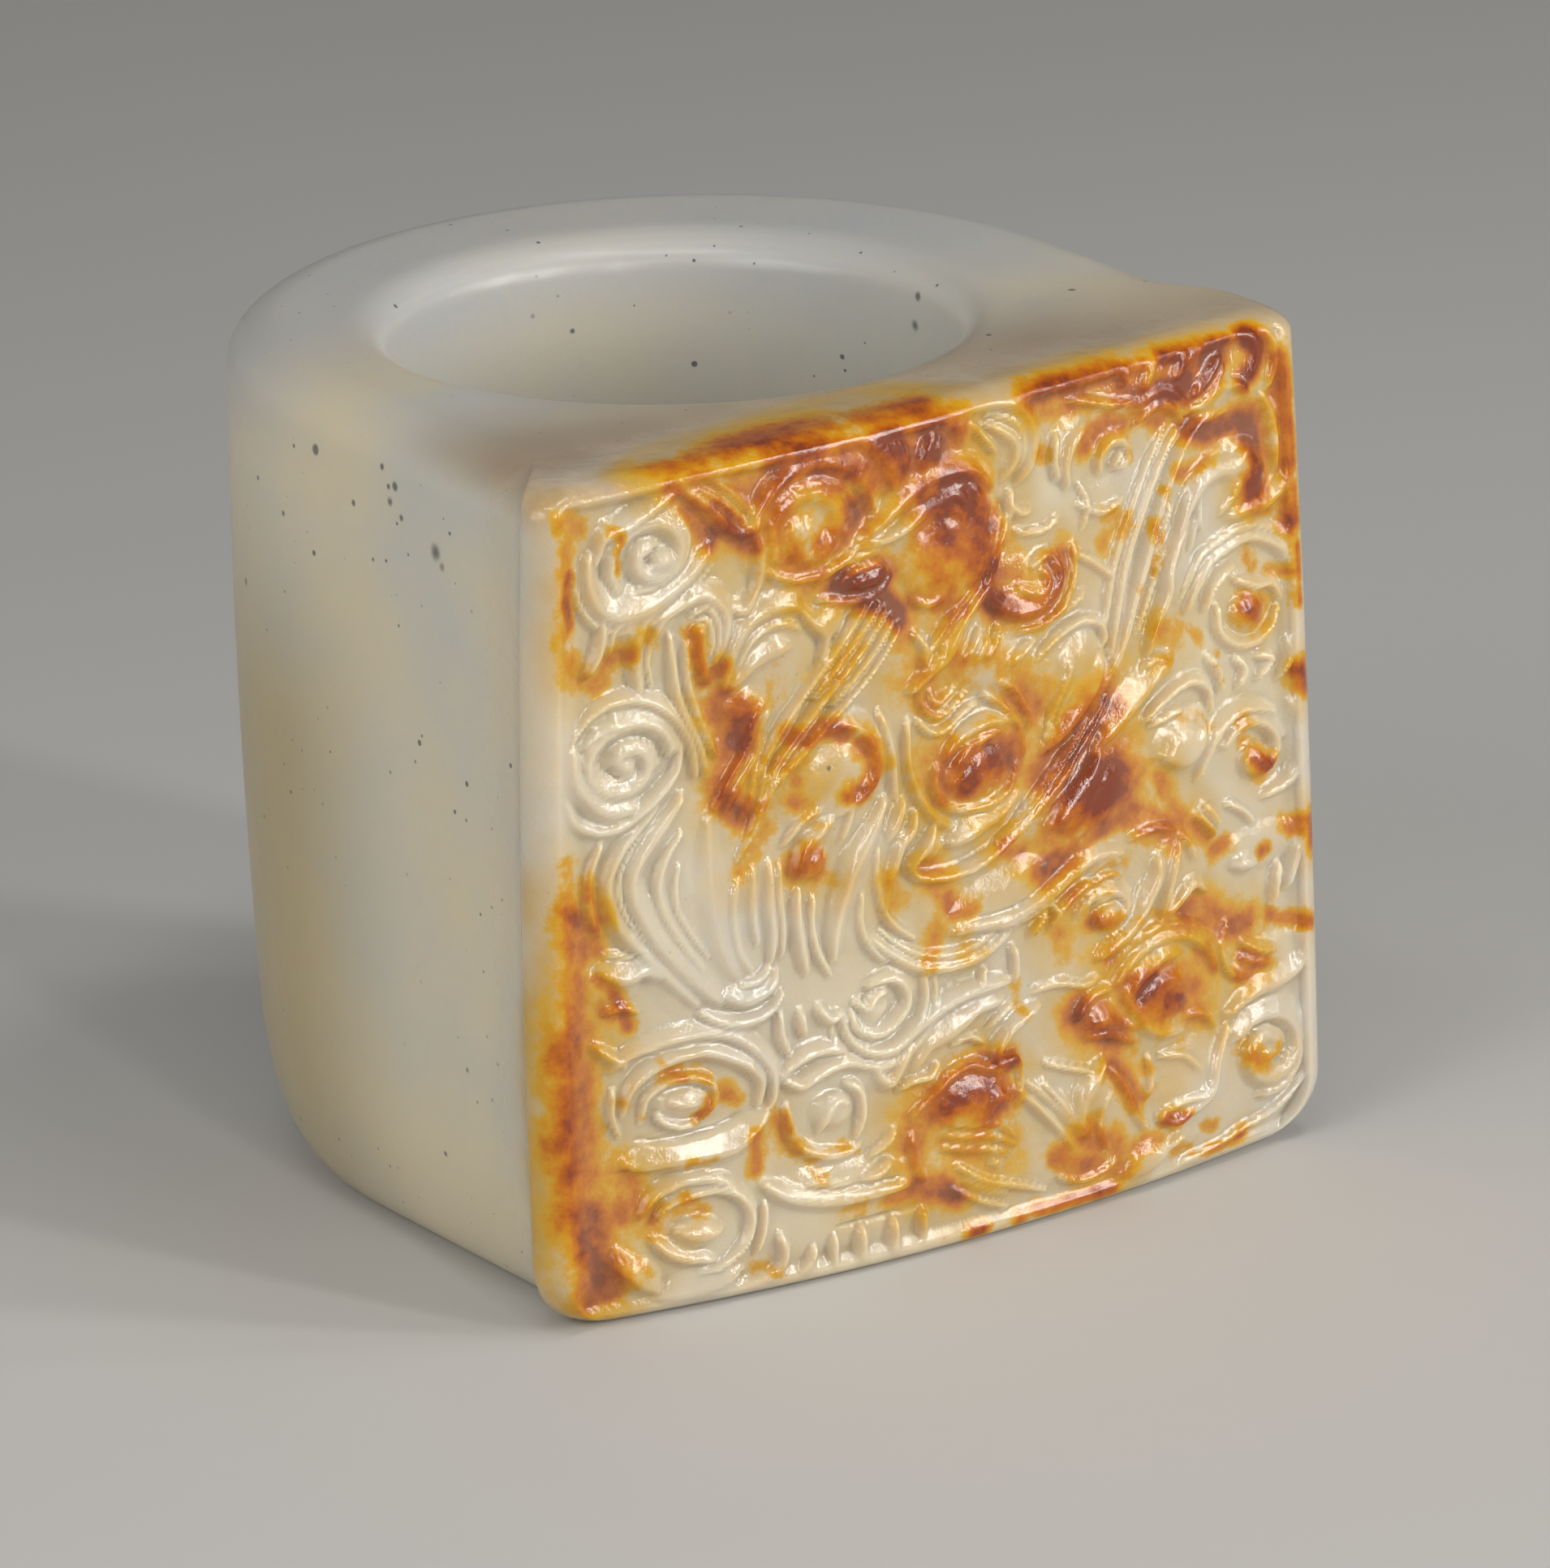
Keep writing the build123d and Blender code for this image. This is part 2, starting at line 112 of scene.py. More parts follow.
# Ridges in the groups a carver would cut them in: half width, height over the ground, how far
# the slope leans out, the route's x,z points, and how many finer lines run beside it (to its
# right if negative).
Ridge = namedtuple("Ridge", "wide high lean route echoes", defaults=[0])
ridges = [
    # crest
    Ridge(0.5, 0.34, 0.3, "-13.6,29.4 -8,29.6 -2,29.55 0.2,29.5 1.4,29.25 2,28.9"),
    Ridge(0.2, 0.36, 0, "6.4,29.5 7.6,29.55 9.2,29.5"),
    # corner disc
    Ridge(0.42, 0.46, 0.4, "-13.1,27.2 -12.8,28 -12,28.2 -11,28.6 -10.2,28.95 -9.6,29.3"),
    Ridge(0.3, 0.44, 0.3, "-9.8,28.3 -9.5,27.4 -9.8,26.6 -10.6,26.1 -11.6,25.9"),
    Ridge(0.66, 0.5, 0.5, "-13.4,27.4 -13.4,26.4 -13,25.6 -12.3,25.2 -11.3,25.2 -10.3,25.6 -9.4,26.1 "
                          "-8.6,26.7", -1),
    Ridge(0.36, 0.46, 0.3, "-12.9,25.4 -12.9,24.6 -13.1,23.9 -13.5,23.3"),
    Ridge(0.42, 0.46, 0.3, "-10.6,25.4 -11.3,24.8 -11.6,24 -11.6,23.2 -11.4,22.4"),
    Ridge(0.24, 0.42, 0.3, "-12.6,23.9 -12.5,24.7 -12,25 -11.8,24.4"),
    Ridge(0.18, 0.36, 0, "-10.4,25 -10.9,24.3 -11.1,23.4 -10.9,22.5"),
    # claw
    Ridge(0.4, 0.46, 0.4, "-10.9,24.2 -10.5,24.8 -9.8,25.1 -9,25.3 -8.4,25 -8,24.4 -8.1,23.6 -8.5,22.9"),
    Ridge(0.19, 0.44, 0, "-9.4,24.7 -8.8,24.9 -8.4,24.4 -8.3,23.8 -8.5,23.1"),
    Ridge(0.16, 0.42, 0, "-9,24.6 -8.7,24.3 -8.6,23.7 -8.7,23.2"),
    Ridge(0.32, 0.46, 0, "-9.2,24.2 -9.1,23.4 -9,22.8 -8.7,22.2"),
    Ridge(0.3, 0.42, 0.9, "-6.9,27 -6.6,26.2 -6.7,25.2 -7.2,24.4 -7.8,24.6"),
    Ridge(0.3, 0.4, 0, "-10.2,24.2 -10.1,23 -9.9,21.8 -9.5,20.8 -9.1,19.9 -8.9,19"),
    Ridge(0.28, 0.42, 0.2, "-9.6,23.8 -9.6,22.6 -9.3,21.4 -8.9,20.4 -8.5,19.6", -1),
    Ridge(0.2, 0.44, 0, "-6.6,21.2 -7.2,20.4 -7.6,19.6", 1),
    # bands
    Ridge(0.4, 0.46, 0.3, "-9.9,29.3 -9.1,28.7 -8.3,28 -7.7,27.3 -7,27"),
    Ridge(0.26, 0.44, 0, "-9.2,29.2 -8.3,28.6 -7.5,27.9 -7,27.3", 1),
    # eye
    Ridge(0.46, 0.46, 0.5, "-7,27 -6.5,27.8 -5.8,28.5 -4.9,28.9 -3.8,28.9 -2.8,28.4 -2.1,27.7 -1.8,26.9"),
    Ridge(0.2, 0.42, 0, "-6.3,27.5 -5.7,28.1 -4.8,28.35 -3.9,28.3 -3,27.9 -2.5,27.2"),
    Ridge(0.24, 0.42, 0, "-6.8,26.2 -6.1,25.5 -5.2,25.1 -4.2,25.1 -3.2,25.4 -2.4,25.8"),
    # jaw
    Ridge(0.42, 0.44, 0.5, "-8.1,21.9 -7.9,22.9 -7.3,23.8 -6.4,24.2 -5.4,24.2 -4.8,23.9"),
    Ridge(0.2, 0.4, 0, "-7.7,22.4 -7.2,23.2 -6.5,23.65 -5.7,23.7 -5,23.4"),
    Ridge(0.36, 0.46, 0.7, "-7.9,21.8 -7.2,22.4 -6.4,22.7 -5.6,22.8"),
    Ridge(0.3, 0.46, 0.5, "-5,24.1 -4.5,23.4 -4,22.8 -4.2,22"),
    # brow
    Ridge(0.5, 0.5, 0.3, "-2.3,25.9 -1.4,26.4 -0.4,27 0.6,27.4 1.6,27.5 2.6,27.3 3.3,26.7"),
    Ridge(0.36, 0.48, 0.4, "-2.5,25.7 -1.4,25.7 -0.6,25.9 0.2,26.3 1,26.6 1.6,26.7 2,26.3 1.9,25.8"),
    Ridge(0.16, 0.44, 0, "0.8,26.2 1.4,26.35 1.8,26"),
    Ridge(0.16, 0.4, 0, "-1.8,26 -0.9,26.5 0.1,26.9 1.2,27.1 2.2,27"),
    Ridge(0.62, 0.46, 0, "2.3,26.9 2.7,26.3 2.7,25.4 2.6,24.5 2.2,23.6"),
    Ridge(0.55, 0.46, 0.3, "-2.3,29.4 -1.5,28.9 -1,28.2 -0.9,27.5", 1),
    Ridge(0.3, 0.42, 0, "-0.9,29.3 -0.5,28.6 -0.6,27.8"),
    Ridge(0.45, 0.44, 0.2, "0.9,29.1 0.5,28.4 0.3,27.8", 1),
    # cheek
    Ridge(0.44, 0.5, 0.3, "4.2,26.2 4,25.4 3.5,24.6 3.2,23.9 2.9,23.2 2.2,22.6 1.6,21.9 1.1,21.2 0.4,20.7 "
                          "-0.4,20.2"),
    Ridge(0.2, 0.44, 0, "3.5,25.6 3.1,24.7 2.7,23.9 2.1,23.1 1.3,22.4 0.6,21.7 0,21.1"),
    Ridge(0.5, 0.48, 0.5, "2,22.6 1.5,21.9 0.9,21.2"),
    Ridge(0.28, 0.46, 0, "4.1,25.9 4.5,25.5 5,25.4"),
    Ridge(0.24, 0.36, 0, "-0.2,23.4 0.3,23.1 1,23.3"),
    Ridge(0.24, 0.38, 0, "-0.2,22.2 0.2,21.6 0.1,20.9"),
    # lens
    Ridge(0.2, 0.46, 0, "-3.4,24.6 -2.7,24.95 -1.9,25.05 -1.4,24.8"),
    Ridge(0.15, 0.5, 0, "-2.9,24.5 -2.2,24.65 -1.6,24.65"),
    Ridge(0.24, 0.42, 0, "-4.3,24.8 -3.3,25.25 -2.4,25.4 -1.5,25.4"),
    Ridge(0.22, 0.42, 0, "-4.1,24.2 -3.2,23.95 -2.4,23.9 -1.6,24.05 -1.1,24.5"),
    # hook
    Ridge(0.5, 0.5, 0.7, "3.1,23.3 3.3,22.5 4,22 4.9,21.9 5.7,22.3 6.1,22.9 5.9,23.5"),
    Ridge(0.24, 0.46, 0.3, "4.2,22.9 4.7,22.6 5.3,22.5 5.6,22.9 5.3,23.3"),
    Ridge(0.2, 0.46, 0, "4.9,23.5 5.4,23.75 5.9,23.8"),
    Ridge(0.28, 0.4, 0, "6.9,23.8 6.8,22.7 6.3,21.9 5.5,21.4 4.4,21.3"),
    Ridge(0.18, 0.34, 0, "4.4,24.8 5.4,24.6 6.3,24.9"),
    # top claw
    Ridge(0.42, 0.46, 0.3, "3.3,29.6 4.3,29.3 5,28.7 5.2,27.9 5,27.1 4.6,26.6", -1),
    Ridge(0.28, 0.44, 0.2, "3.3,28.8 3.9,28.4 4.4,27.9 4.3,27.3 3.9,26.8"),
    Ridge(0.22, 0.42, 0, "2.5,29.1 3.1,28.4 3.6,27.8"),
    Ridge(0.32, 0.46, 0.2, "7.5,27.8 6.9,27.3 6.6,26.6 6.7,25.9"),
    Ridge(0.22, 0.42, 0, "6.3,27.8 6.15,27 6.3,26.2"),
    Ridge(0.18, 0.42, 0, "8.8,26.2 9.25,26.6"),
    Ridge(0.22, 0.34, 0, "7.2,25.2 8.2,24.7 9.2,24.9"),
    Ridge(0.2, 0.32, 0, "6.8,23.6 7.8,23 8.6,22.3"),
    Ridge(0.18, 0.3, 0, "7.2,26 7.6,25.2 7.4,24.3"),
    # mane
    Ridge(0.3, 0.48, 0.3, "9.4,28.9 9.6,29.5"),
    Ridge(0.34, 0.48, 0.3, "10.3,28.6 10.6,29.1 10.9,29.6"),
    Ridge(0.16, 0.44, 0, "10.9,28.9 11.3,29.3"),
    Ridge(0.3, 0.46, 0.3, "11.8,28.6 12.1,29.1 12.3,29.6"),
    Ridge(0.18, 0.44, 0, "12,28.7 12.5,29.2 13.1,29.4"),
    Ridge(0.32, 0.48, 0.4, "12.6,27.8 13.3,28.3 14,29", -1),
    Ridge(0.28, 0.42, 0, "12.2,27.3 13,27.5 14,27.9 14.9,27.7 15.3,27.2"),
    Ridge(0.26, 0.42, 0, "9.9,27.4 10.9,27.9 11.7,27.6 12.2,27", 1),
    Ridge(0.22, 0.42, 0, "7,28.9 8,28.6 9,28.3 10,28.2"),
    Ridge(0.42, 0.48, 0.3, "14.9,29.7 15.5,29.3 15.7,28.7 15.4,28"),
    Ridge(0.38, 0.52, 0.3, "16,29.5 16.5,28.9 16.5,28.2 16.2,27.4"),
    Ridge(0.34, 0.46, 0, "15.9,27.2 16.3,26.4 16.4,25.4 16.4,24.5"),
    # body
    Ridge(0.34, 0.44, 0.4, "11.9,26.8 11.2,26.1 10.6,25.3 10.1,24.5 9.6,23.6 9.2,22.8 8.9,22 8.7,21.2 "
                           "8.5,20.4 8.3,19.6", -1),
    Ridge(0.42, 0.54, 0.2, "14.2,27 12.9,26.8 12.1,26.2 11.5,25.4 11.1,24.8 10.7,24.1 10.3,23.3 10,22.5 "
                           "9.7,21.9 9.3,21.1 9,20.3 8.5,19.4 8,18.8 7.3,17.9"),
    Ridge(0.44, 0.52, 0.3, "12,23.4 11.5,22.7 11.1,21.9 11,21.2 10.6,20.5 10.3,19.9 10,19.3"),
    Ridge(0.18, 0.38, 0, "11.5,24.2 11,23.4 10.6,22.6 10.4,21.8 10,20.9 9.6,20.1"),
    Ridge(0.4, 0.48, 0.4, "15,25.4 14.4,24.9 13.6,24.9 13,24.8 12.5,24.4 12.1,23.9 11.7,23.2"),
    Ridge(0.22, 0.44, 0, "12.7,24.4 12.6,23.8 12.7,23.1"),
    Ridge(0.2, 0.42, 0, "12.2,24 11.9,23.2 11.8,22.4", 1),
    Ridge(0.2, 0.36, 0, "14.6,24.5 14.2,23.9 13.6,23.5"),
    # blades
    Ridge(0.6, 0.52, 0.5, "11,18.7 10.3,18.4 9.7,18 9,17.5 8.3,17 7.6,16.6"),
    Ridge(0.2, 0.42, 0, "11,18.8 10.3,19 9.7,18.8"),
    Ridge(0.72, 0.52, 0.6, "7.8,19.7 7.5,18.9 6.9,18.2 6.2,17.6 5.4,17"),
    Ridge(0.14, 0.46, 0, "5.2,17.2 5.5,18.1 6,19 6.4,19.8"),
    Ridge(0.14, 0.44, 0, "5.6,17.5 5.9,18.3 6.4,19"),
    Ridge(0.24, 0.42, 0, "5,20.2 5.9,20.8 7,21.1 7.9,20.8 8.1,20.1"),
    Ridge(0.26, 0.44, 0.3, "5.8,21.5 6.4,21.7 7.2,22"),
    Ridge(0.18, 0.42, 0, "1.8,20.9 2.2,21.3 2.6,21.8", -1),
    Ridge(0.18, 0.42, 0, "2.7,20.7 3.1,21.1 3.5,21.7"),
    Ridge(0.26, 0.44, 0, "3.7,20.3 4.3,20.6 4.9,20.9"),
    Ridge(0.2, 0.38, 0, "3.2,19.8 3.9,19.4 4.4,18.6 4.6,17.8"),
    # tail
    Ridge(0.3, 0.5, 0.3, "-0.9,14.1 -0.5,13.6 0.5,13.35 1.6,13.4 2.6,13.7 3.4,14.1 4.2,14.6 5,15.2 "
                         "5.8,15.8 6.6,16.6 7.4,17.4 8.1,18.2"),
    Ridge(0.18, 0.48, 0, "2.8,14.15 3.6,14.6 4.6,15.3 5.4,16 6.2,16.7 7,17.5 7.7,18.1"),
    Ridge(0.5, 0.48, 0.3, "5.2,14.2 6,14.5 6.6,15 7.2,15.7 7.5,16.4"),
    Ridge(0.18, 0.42, 0, "6.2,14.1 7,14.7 7.8,15.6"),
    Ridge(0.46, 0.5, 0.5, "0.9,14.5 1.6,14.6 2.4,14.9 3.2,15.2 3.9,15.8"),
    # oval
    Ridge(0.28, 0.48, 0.3, "0.8,17.6 1.3,18.1 2,18.35 2.8,18.45 3.7,18.3"),
    Ridge(0.26, 0.48, 0.4, "1.2,17.2 1.7,17.7 2.4,17.95 3.3,18.1"),
    Ridge(0.14, 0.42, 0, "1,16.6 1.6,16.85 2.2,17.2", -1),
    Ridge(0.24, 0.42, 0, "0.5,17.4 0.4,16.6 0.8,15.9 1.6,15.6 2.8,15.6 3.6,16 3.9,16.8"),
    Ridge(0.18, 0.44, 0, "-0.1,20.1 0.1,19.4 0.6,19.1 1.2,19.3 1.9,19.7", 1),
    Ridge(0.22, 0.42, 0, "-0.2,19.1 0.3,18.6 0.9,18.6 1.6,19 2.3,19.2"),
    Ridge(0.26, 0.38, 0, "-0.6,19.2 -0.7,17.8 -0.3,16.5 0.3,15.6 1,15.1"),
    Ridge(0.2, 0.38, 0, "2.6,19.5 3.4,18.9 4.1,18 4.2,17"),
    # left scroll
    Ridge(0.62, 0.52, 0.6, "-14.1,20.8 -14,19.7 -13.5,18.9 -12.8,18.35 -11.8,18.3"),
    Ridge(0.34, 0.44, 0.3, "-14.4,19 -14,18.2 -13.2,17.75 -12.4,17.75 -11.6,18.1 -10.8,18.6 -10.1,19.3 "
                           "-9.9,20.2"),
    Ridge(0.34, 0.46, 0.4, "-13.6,20.9 -12.9,21.3 -12,21.4 -11.1,21.2 -10.5,20.7 -10.3,20"),
    Ridge(0.3, 0.42, 0.3, "-14,21.2 -13.3,21.9 -12.3,22.2 -11.2,22 -10.3,21.4 -9.7,20.6 -9.4,19.8 -9.3,19"),
    # breast
    Ridge(0.5, 0.5, 0.5, "-9.9,18.3 -10.6,17.6 -11.1,17.1 -11.6,16.5 -11.9,15.9 -11.9,15.1 -11.6,14.4 "
                         "-11.1,13.5 -10.5,12.7 -9.8,11.9 -9.2,11.3 -8.7,10.9"),
    Ridge(0.26, 0.46, 0.3, "-10,17.1 -10.6,16.4 -10.9,15.7 -10.9,14.9 -10.6,14.1 -10,13.1 -9.3,12.2"),
    Ridge(0.4, 0.44, 0.3, "-10.9,18.2 -11.6,17.6 -12.3,16.9 -12.8,16 -12.8,15.1 -12.5,14.3 -11.9,13.5 "
                          "-11.2,12.7 -10.3,11.7 -9.6,11"),
    Ridge(0.18, 0.38, 0, "-11.2,17.6 -11.9,16.9 -12.35,16.1 -12.4,15.3 -12.1,14.5 -11.5,13.6"),
    Ridge(0.28, 0.38, 0, "-13,17.3 -13.5,16.2 -13.5,15 -13.2,14.1"),
    Ridge(0.16, 0.36, 0, "-10.1,16.1 -10.3,15.3 -10.2,14.4 -9.7,13.5 -9.1,12.6"),
    Ridge(0.44, 0.52, 0.5, "-8.5,11 -7.7,10.7 -6.9,10.9 -6.4,11.3"),
    Ridge(0.22, 0.44, 0, "-7.9,11.3 -7.1,11.4 -6.6,11.8"),
    Ridge(0.34, 0.46, 0.2, "-9.4,10.6 -8.6,10.1 -7.6,9.95 -6.7,10.2 -6.2,10.7"),
    Ridge(0.6, 0.4, 0.4, "-8.9,17.4 -9,15.8 -8.9,14.2 -8.6,12.8 -8.1,11.8"),
    Ridge(0.3, 0.38, 0, "-7.9,15 -8.1,14 -7.9,12.6 -7.4,11.8"),
    Ridge(0.24, 0.34, 0, "-7.2,15.4 -7.3,14 -7.1,12.6"),
    Ridge(0.34, 0.42, 0.2, "-6.5,15.4 -6.6,14 -6.5,12.8 -6.6,11.9", 1),
    Ridge(0.34, 0.44, 0.2, "-5.4,14.2 -5.5,13.2 -5.4,12.2 -5.2,11.2"),
    Ridge(0.22, 0.38, 0, "-4.8,13.8 -4.9,12.8 -4.7,11.8 -4.2,10.9"),
    Ridge(0.48, 0.5, 0.5, "-13.1,12.7 -12.3,12.35 -11.6,12.5 -10.9,12.2"),
    Ridge(0.18, 0.42, 0, "-13.1,13.35 -12.3,13.25 -11.5,13"),
    Ridge(0.26, 0.46, 0, "-13.1,11.3 -12.4,11.4 -11.8,11.1"),
    Ridge(0.3, 0.42, 0, "-13.5,10.2 -12.9,9.7 -12.3,9.3"),
    # wing
    Ridge(0.24, 0.48, 0.2, "-4.2,19.4 -5,19.1 -5.7,18.6 -6.3,18.1 -6.9,17.2 -7.3,16.5 -7.8,15.8"),
    Ridge(0.24, 0.46, 0.2, "-7.1,20.2 -7.4,19.5 -7.9,18.9 -8.4,18.2 -8.8,17.4", 1),
    Ridge(0.18, 0.42, 0, "-5.9,19.2 -6.3,18.5 -6.6,17.8"),
    Ridge(0.18, 0.4, 0, "-7,18.9 -7.2,18 -7.6,17.2", 1),
    Ridge(0.42, 0.44, 0.4, "-5.2,18.6 -4.4,19.4 -3.4,19.6 -2.6,19.2 -2.1,18.4 -2.2,17.5 -2.8,16.9 "
                           "-3.6,16.6"),
    Ridge(0.36, 0.5, 0.4, "-5.5,14.8 -5.2,15.5 -4.6,16 -4,16.4"),
    Ridge(0.22, 0.4, 0, "-5.9,15.9 -5.2,16.6 -4.4,16.9"),
    # plumes
    Ridge(0.34, 0.44, 0.3, "-1.8,19.7 -1.5,18.6 -1.4,17.6 -1.3,16.7"),
    Ridge(0.46, 0.52, 0.6, "-1.8,16.6 -2.3,15.8 -2.8,15.1 -3.3,14.4 -3.6,13.7 -3.9,13 -4.1,12.2 -4.1,11.5"),
    Ridge(0.38, 0.5, 0.4, "-1,16.5 -1.3,15.9 -1.7,15.3"),
    Ridge(0.36, 0.5, 0.6, "-0.5,15.9 -0.7,15.3 -1.2,14.9 -1.5,14.3 -1.8,13.6 -1.9,12.9"),
    Ridge(0.22, 0.44, 0, "-2.2,15 -2.3,14.2 -2.2,13.4 -1.9,12.6 -1.4,12 -0.7,11.5"),
    Ridge(0.2, 0.4, 0, "-2.9,13.6 -3,12.6 -2.6,11.6 -1.9,10.9"),
    Ridge(0.28, 0.48, 0.4, "0.3,15.3 -0.1,14.7 -0.6,14.2 -0.9,13.9"),
    Ridge(0.22, 0.36, 0, "-3.4,17.6 -3.2,16.6 -3.6,15.6"),
    # waves
    Ridge(0.42, 0.46, 0.4, "1,11.3 2.2,11.3 3.2,11.2 4.2,11.5 5.2,11.8 6.2,12.3 7.2,12.6 8.4,12.5"),
    Ridge(0.26, 0.48, 0, "3.2,11 4.2,11.3 5,11.5 5.4,11"),
    Ridge(0.26, 0.46, 0, "5.1,10.6 5.6,11.2 6.3,11.6 7,11.8"),
    Ridge(0.28, 0.44, 0, "4.2,10.5 4.6,10.9 4.9,11.3"),
    Ridge(0.19, 0.44, 0, "7,11.7 7.7,11.9 8.4,11.7", 1),
    Ridge(0.19, 0.44, 0, "7,11 7.8,11.15 8.4,11"),
    Ridge(0.48, 0.5, 0.4, "10,11.9 9.9,11.2 9.5,10.6 9,10 8.2,9.4 7.3,9"),
    Ridge(0.28, 0.46, 0, "11,12.2 10.7,11.4 10.4,10.6 10.1,9.9"),
    Ridge(0.3, 0.46, 0.3, "10,9.6 10.8,10.1 11.6,10.6 12.2,10.2"),
    Ridge(0.26, 0.46, 0, "11.1,12.6 11.5,12.1 11.7,11.6"),
    Ridge(0.24, 0.48, 0, "12,13 12.4,12.6 12.7,12.1", 1),
    Ridge(0.34, 0.44, 0.3, "-2.6,11.9 -1.6,11 -0.6,10.4 0.6,10.15 1.7,10.2 2.6,10.5 3.3,10.9", 1),
    Ridge(0.24, 0.44, 0, "3.4,9.1 3.5,9.8 3.4,10.3"),
    Ridge(0.24, 0.4, 0, "2.2,9.8 2,9.4 2.4,9.3"),
    Ridge(0.2, 0.36, 0, "4.3,8.5 5.4,8.5 6.4,8.2 7.2,8.3"),
    Ridge(0.2, 0.38, 0, "8.9,12.9 10,13 11,12.7"),
    # small disc
    Ridge(0.32, 0.48, 0.4, "-3.5,9.4 -3.3,8.8 -2.7,8.45 -2.1,8.5 -1.5,8.9 -1.2,9.4 -1.4,10 -2,10.3 "
                           "-2.7,10.2"),
    Ridge(0.26, 0.48, 0, "-3.3,9.8 -2.9,9.5 -2.6,9.8 -2,9.95"),
    Ridge(0.28, 0.42, 0.3, "-3.9,9.4 -3.6,8.5 -2.9,7.9 -2,7.75 -1.1,8.2 -0.6,8.8 -0.4,9.6 -0.5,10.3", -1),
    # rooted cloud
    Ridge(0.36, 0.46, 0.3, "-1.8,7.7 -0.9,8.3 0.1,8.75 1.1,9 2.1,9.1 3.1,9.1"),
    Ridge(0.46, 0.5, 0.4, "-1,7 -0.4,7.6 0.4,7.8 1.1,8.1 1.7,8.4 2.7,8.5"),
    Ridge(0.34, 0.48, 0, "-2.6,7.2 -2.1,6.6 -1.6,7.2 -1.2,7.8"),
    Ridge(0.28, 0.48, 0, "-1.7,6.3 -1.1,6.5 -0.4,6.5 0,6.9"),
    Ridge(0.22, 0.44, 0, "2.2,7.7 2.8,8.1 3.3,8.3"),
    Ridge(0.36, 0.5, 0.3, "2.4,5.9 2.5,6.7 3,7.3 3.6,7.6 4.4,7.9"),
    Ridge(0.18, 0.4, 0, "0.6,7.4 1.4,7.5 2,7.1"),
    # lens cloud
    Ridge(0.34, 0.46, 0.4, "-12.9,9.2 -12.2,9.6 -11.2,9.8 -10.1,9.9 -9.1,9.8 -8.2,9.5 -7.4,8.9 -6.8,8.1 "
                           "-6.7,7.2 -6.9,6.7"),
    Ridge(0.36, 0.5, 0.4, "-12.5,7.6 -12.2,8.4 -11.4,8.95 -10.4,9.2 -9.4,9.2 -8.4,8.8 -7.6,8.3 -7.2,7.7 "
                          "-7.3,7"),
    Ridge(0.24, 0.44, 0.2, "-11.8,7.2 -11.6,8 -10.8,8.4 -9.9,8.4 -9.1,8 -9,7.4 -9.6,6.8"),
    Ridge(0.22, 0.48, 0.3, "-11.3,7.4 -11,7 -10.4,6.75 -9.7,6.7"),
    Ridge(0.16, 0.48, 0, "-10.8,7.8 -10.4,7.6 -9.7,7.5"),
    Ridge(0.16, 0.4, 0, "-12.8,8.6 -12.9,7.6 -12.6,6.8"),
    Ridge(0.56, 0.53, 0.7, "-12.3,5.6 -11,5.55 -9.8,5.5 -8.6,5.55 -7.7,5.9 -7,6.5"),
    # lower scroll
    Ridge(0.32, 0.46, 0.3, "-12,3.8 -11.5,4.4 -10.7,4.7 -9.8,4.75 -8.9,4.5 -8.2,4"),
    Ridge(0.26, 0.5, 0.4, "-11.4,3.6 -11,4 -10,4.2 -9,4.2 -8.2,3.8 -7.8,3.1 -8,2.2 -8.8,1.5 -9.8,1.3"),
    Ridge(0.3, 0.48, 0.4, "-11.6,2.9 -11,2.3 -10.3,1.95 -9.3,1.75"),
    Ridge(0.26, 0.48, 0.4, "-10.7,3.1 -10,2.75 -9,2.75"),
    Ridge(0.52, 0.52, 0.5, "-13,2.6 -12.7,1.9 -12.1,1.4 -11.4,1"),
    Ridge(0.5, 0.5, 0.6, "-11.2,0.7 -10.2,0.6 -9.2,0.7 -8.3,1"),
    Ridge(0.3, 0.48, 0.2, "-8.1,0.4 -7.3,0.5 -6.6,0.9 -6.5,1.5 -6.7,2.1"),
    Ridge(0.28, 0.48, 0, "-5.8,0.5 -5.4,0.9 -5.3,1.4"),
    Ridge(0.22, 0.38, 0, "-7.2,3.4 -7.3,2.5 -7.6,1.6"),
    # middle
    Ridge(0.26, 0.44, 0, "-6.3,10.1 -6.3,9.2 -6,8.5"),
    Ridge(0.26, 0.48, 0, "-5.5,9.9 -5.4,9"),
    Ridge(0.3, 0.48, 0, "-4.8,9.9 -4.4,9.4 -3.9,9.5"),
    Ridge(0.3, 0.44, 0.3, "-6.3,7.8 -5.5,8.2 -4.6,8.3 -3.8,8.1"),
    Ridge(0.38, 0.5, 0.2, "-6.3,7.6 -5.7,7.25 -5.2,7.4 -4.6,7.6 -3.8,7.7 -3,7.4"),
    Ridge(0.26, 0.48, 0, "-5,5.5 -4.7,6.1 -4.3,6.5 -3.8,6.3"),
    Ridge(0.28, 0.46, 0, "-3.5,5 -3.2,5.8 -3.3,6.6 -3.8,7"),
    Ridge(0.3, 0.42, 0.2, "-6.2,6.6 -6,5.4 -5.4,4.8 -4.4,4.5 -3.4,4.6"),
    Ridge(0.42, 0.5, 0.3, "-7.2,4 -6.4,3.4 -5.6,3.1 -4.6,2.9 -3.4,2.8 -2.6,2.8 -1.6,2.8"),
    Ridge(0.28, 0.48, 0, "-3.3,3.45 -2.8,3.5 -2.2,3.8"),
    Ridge(0.22, 0.44, 0, "-3,4.2 -2.3,4.5 -1.9,4.9"),
    Ridge(0.18, 0.38, 0, "-5.6,3.8 -4.6,3.5 -3.8,3.4"),
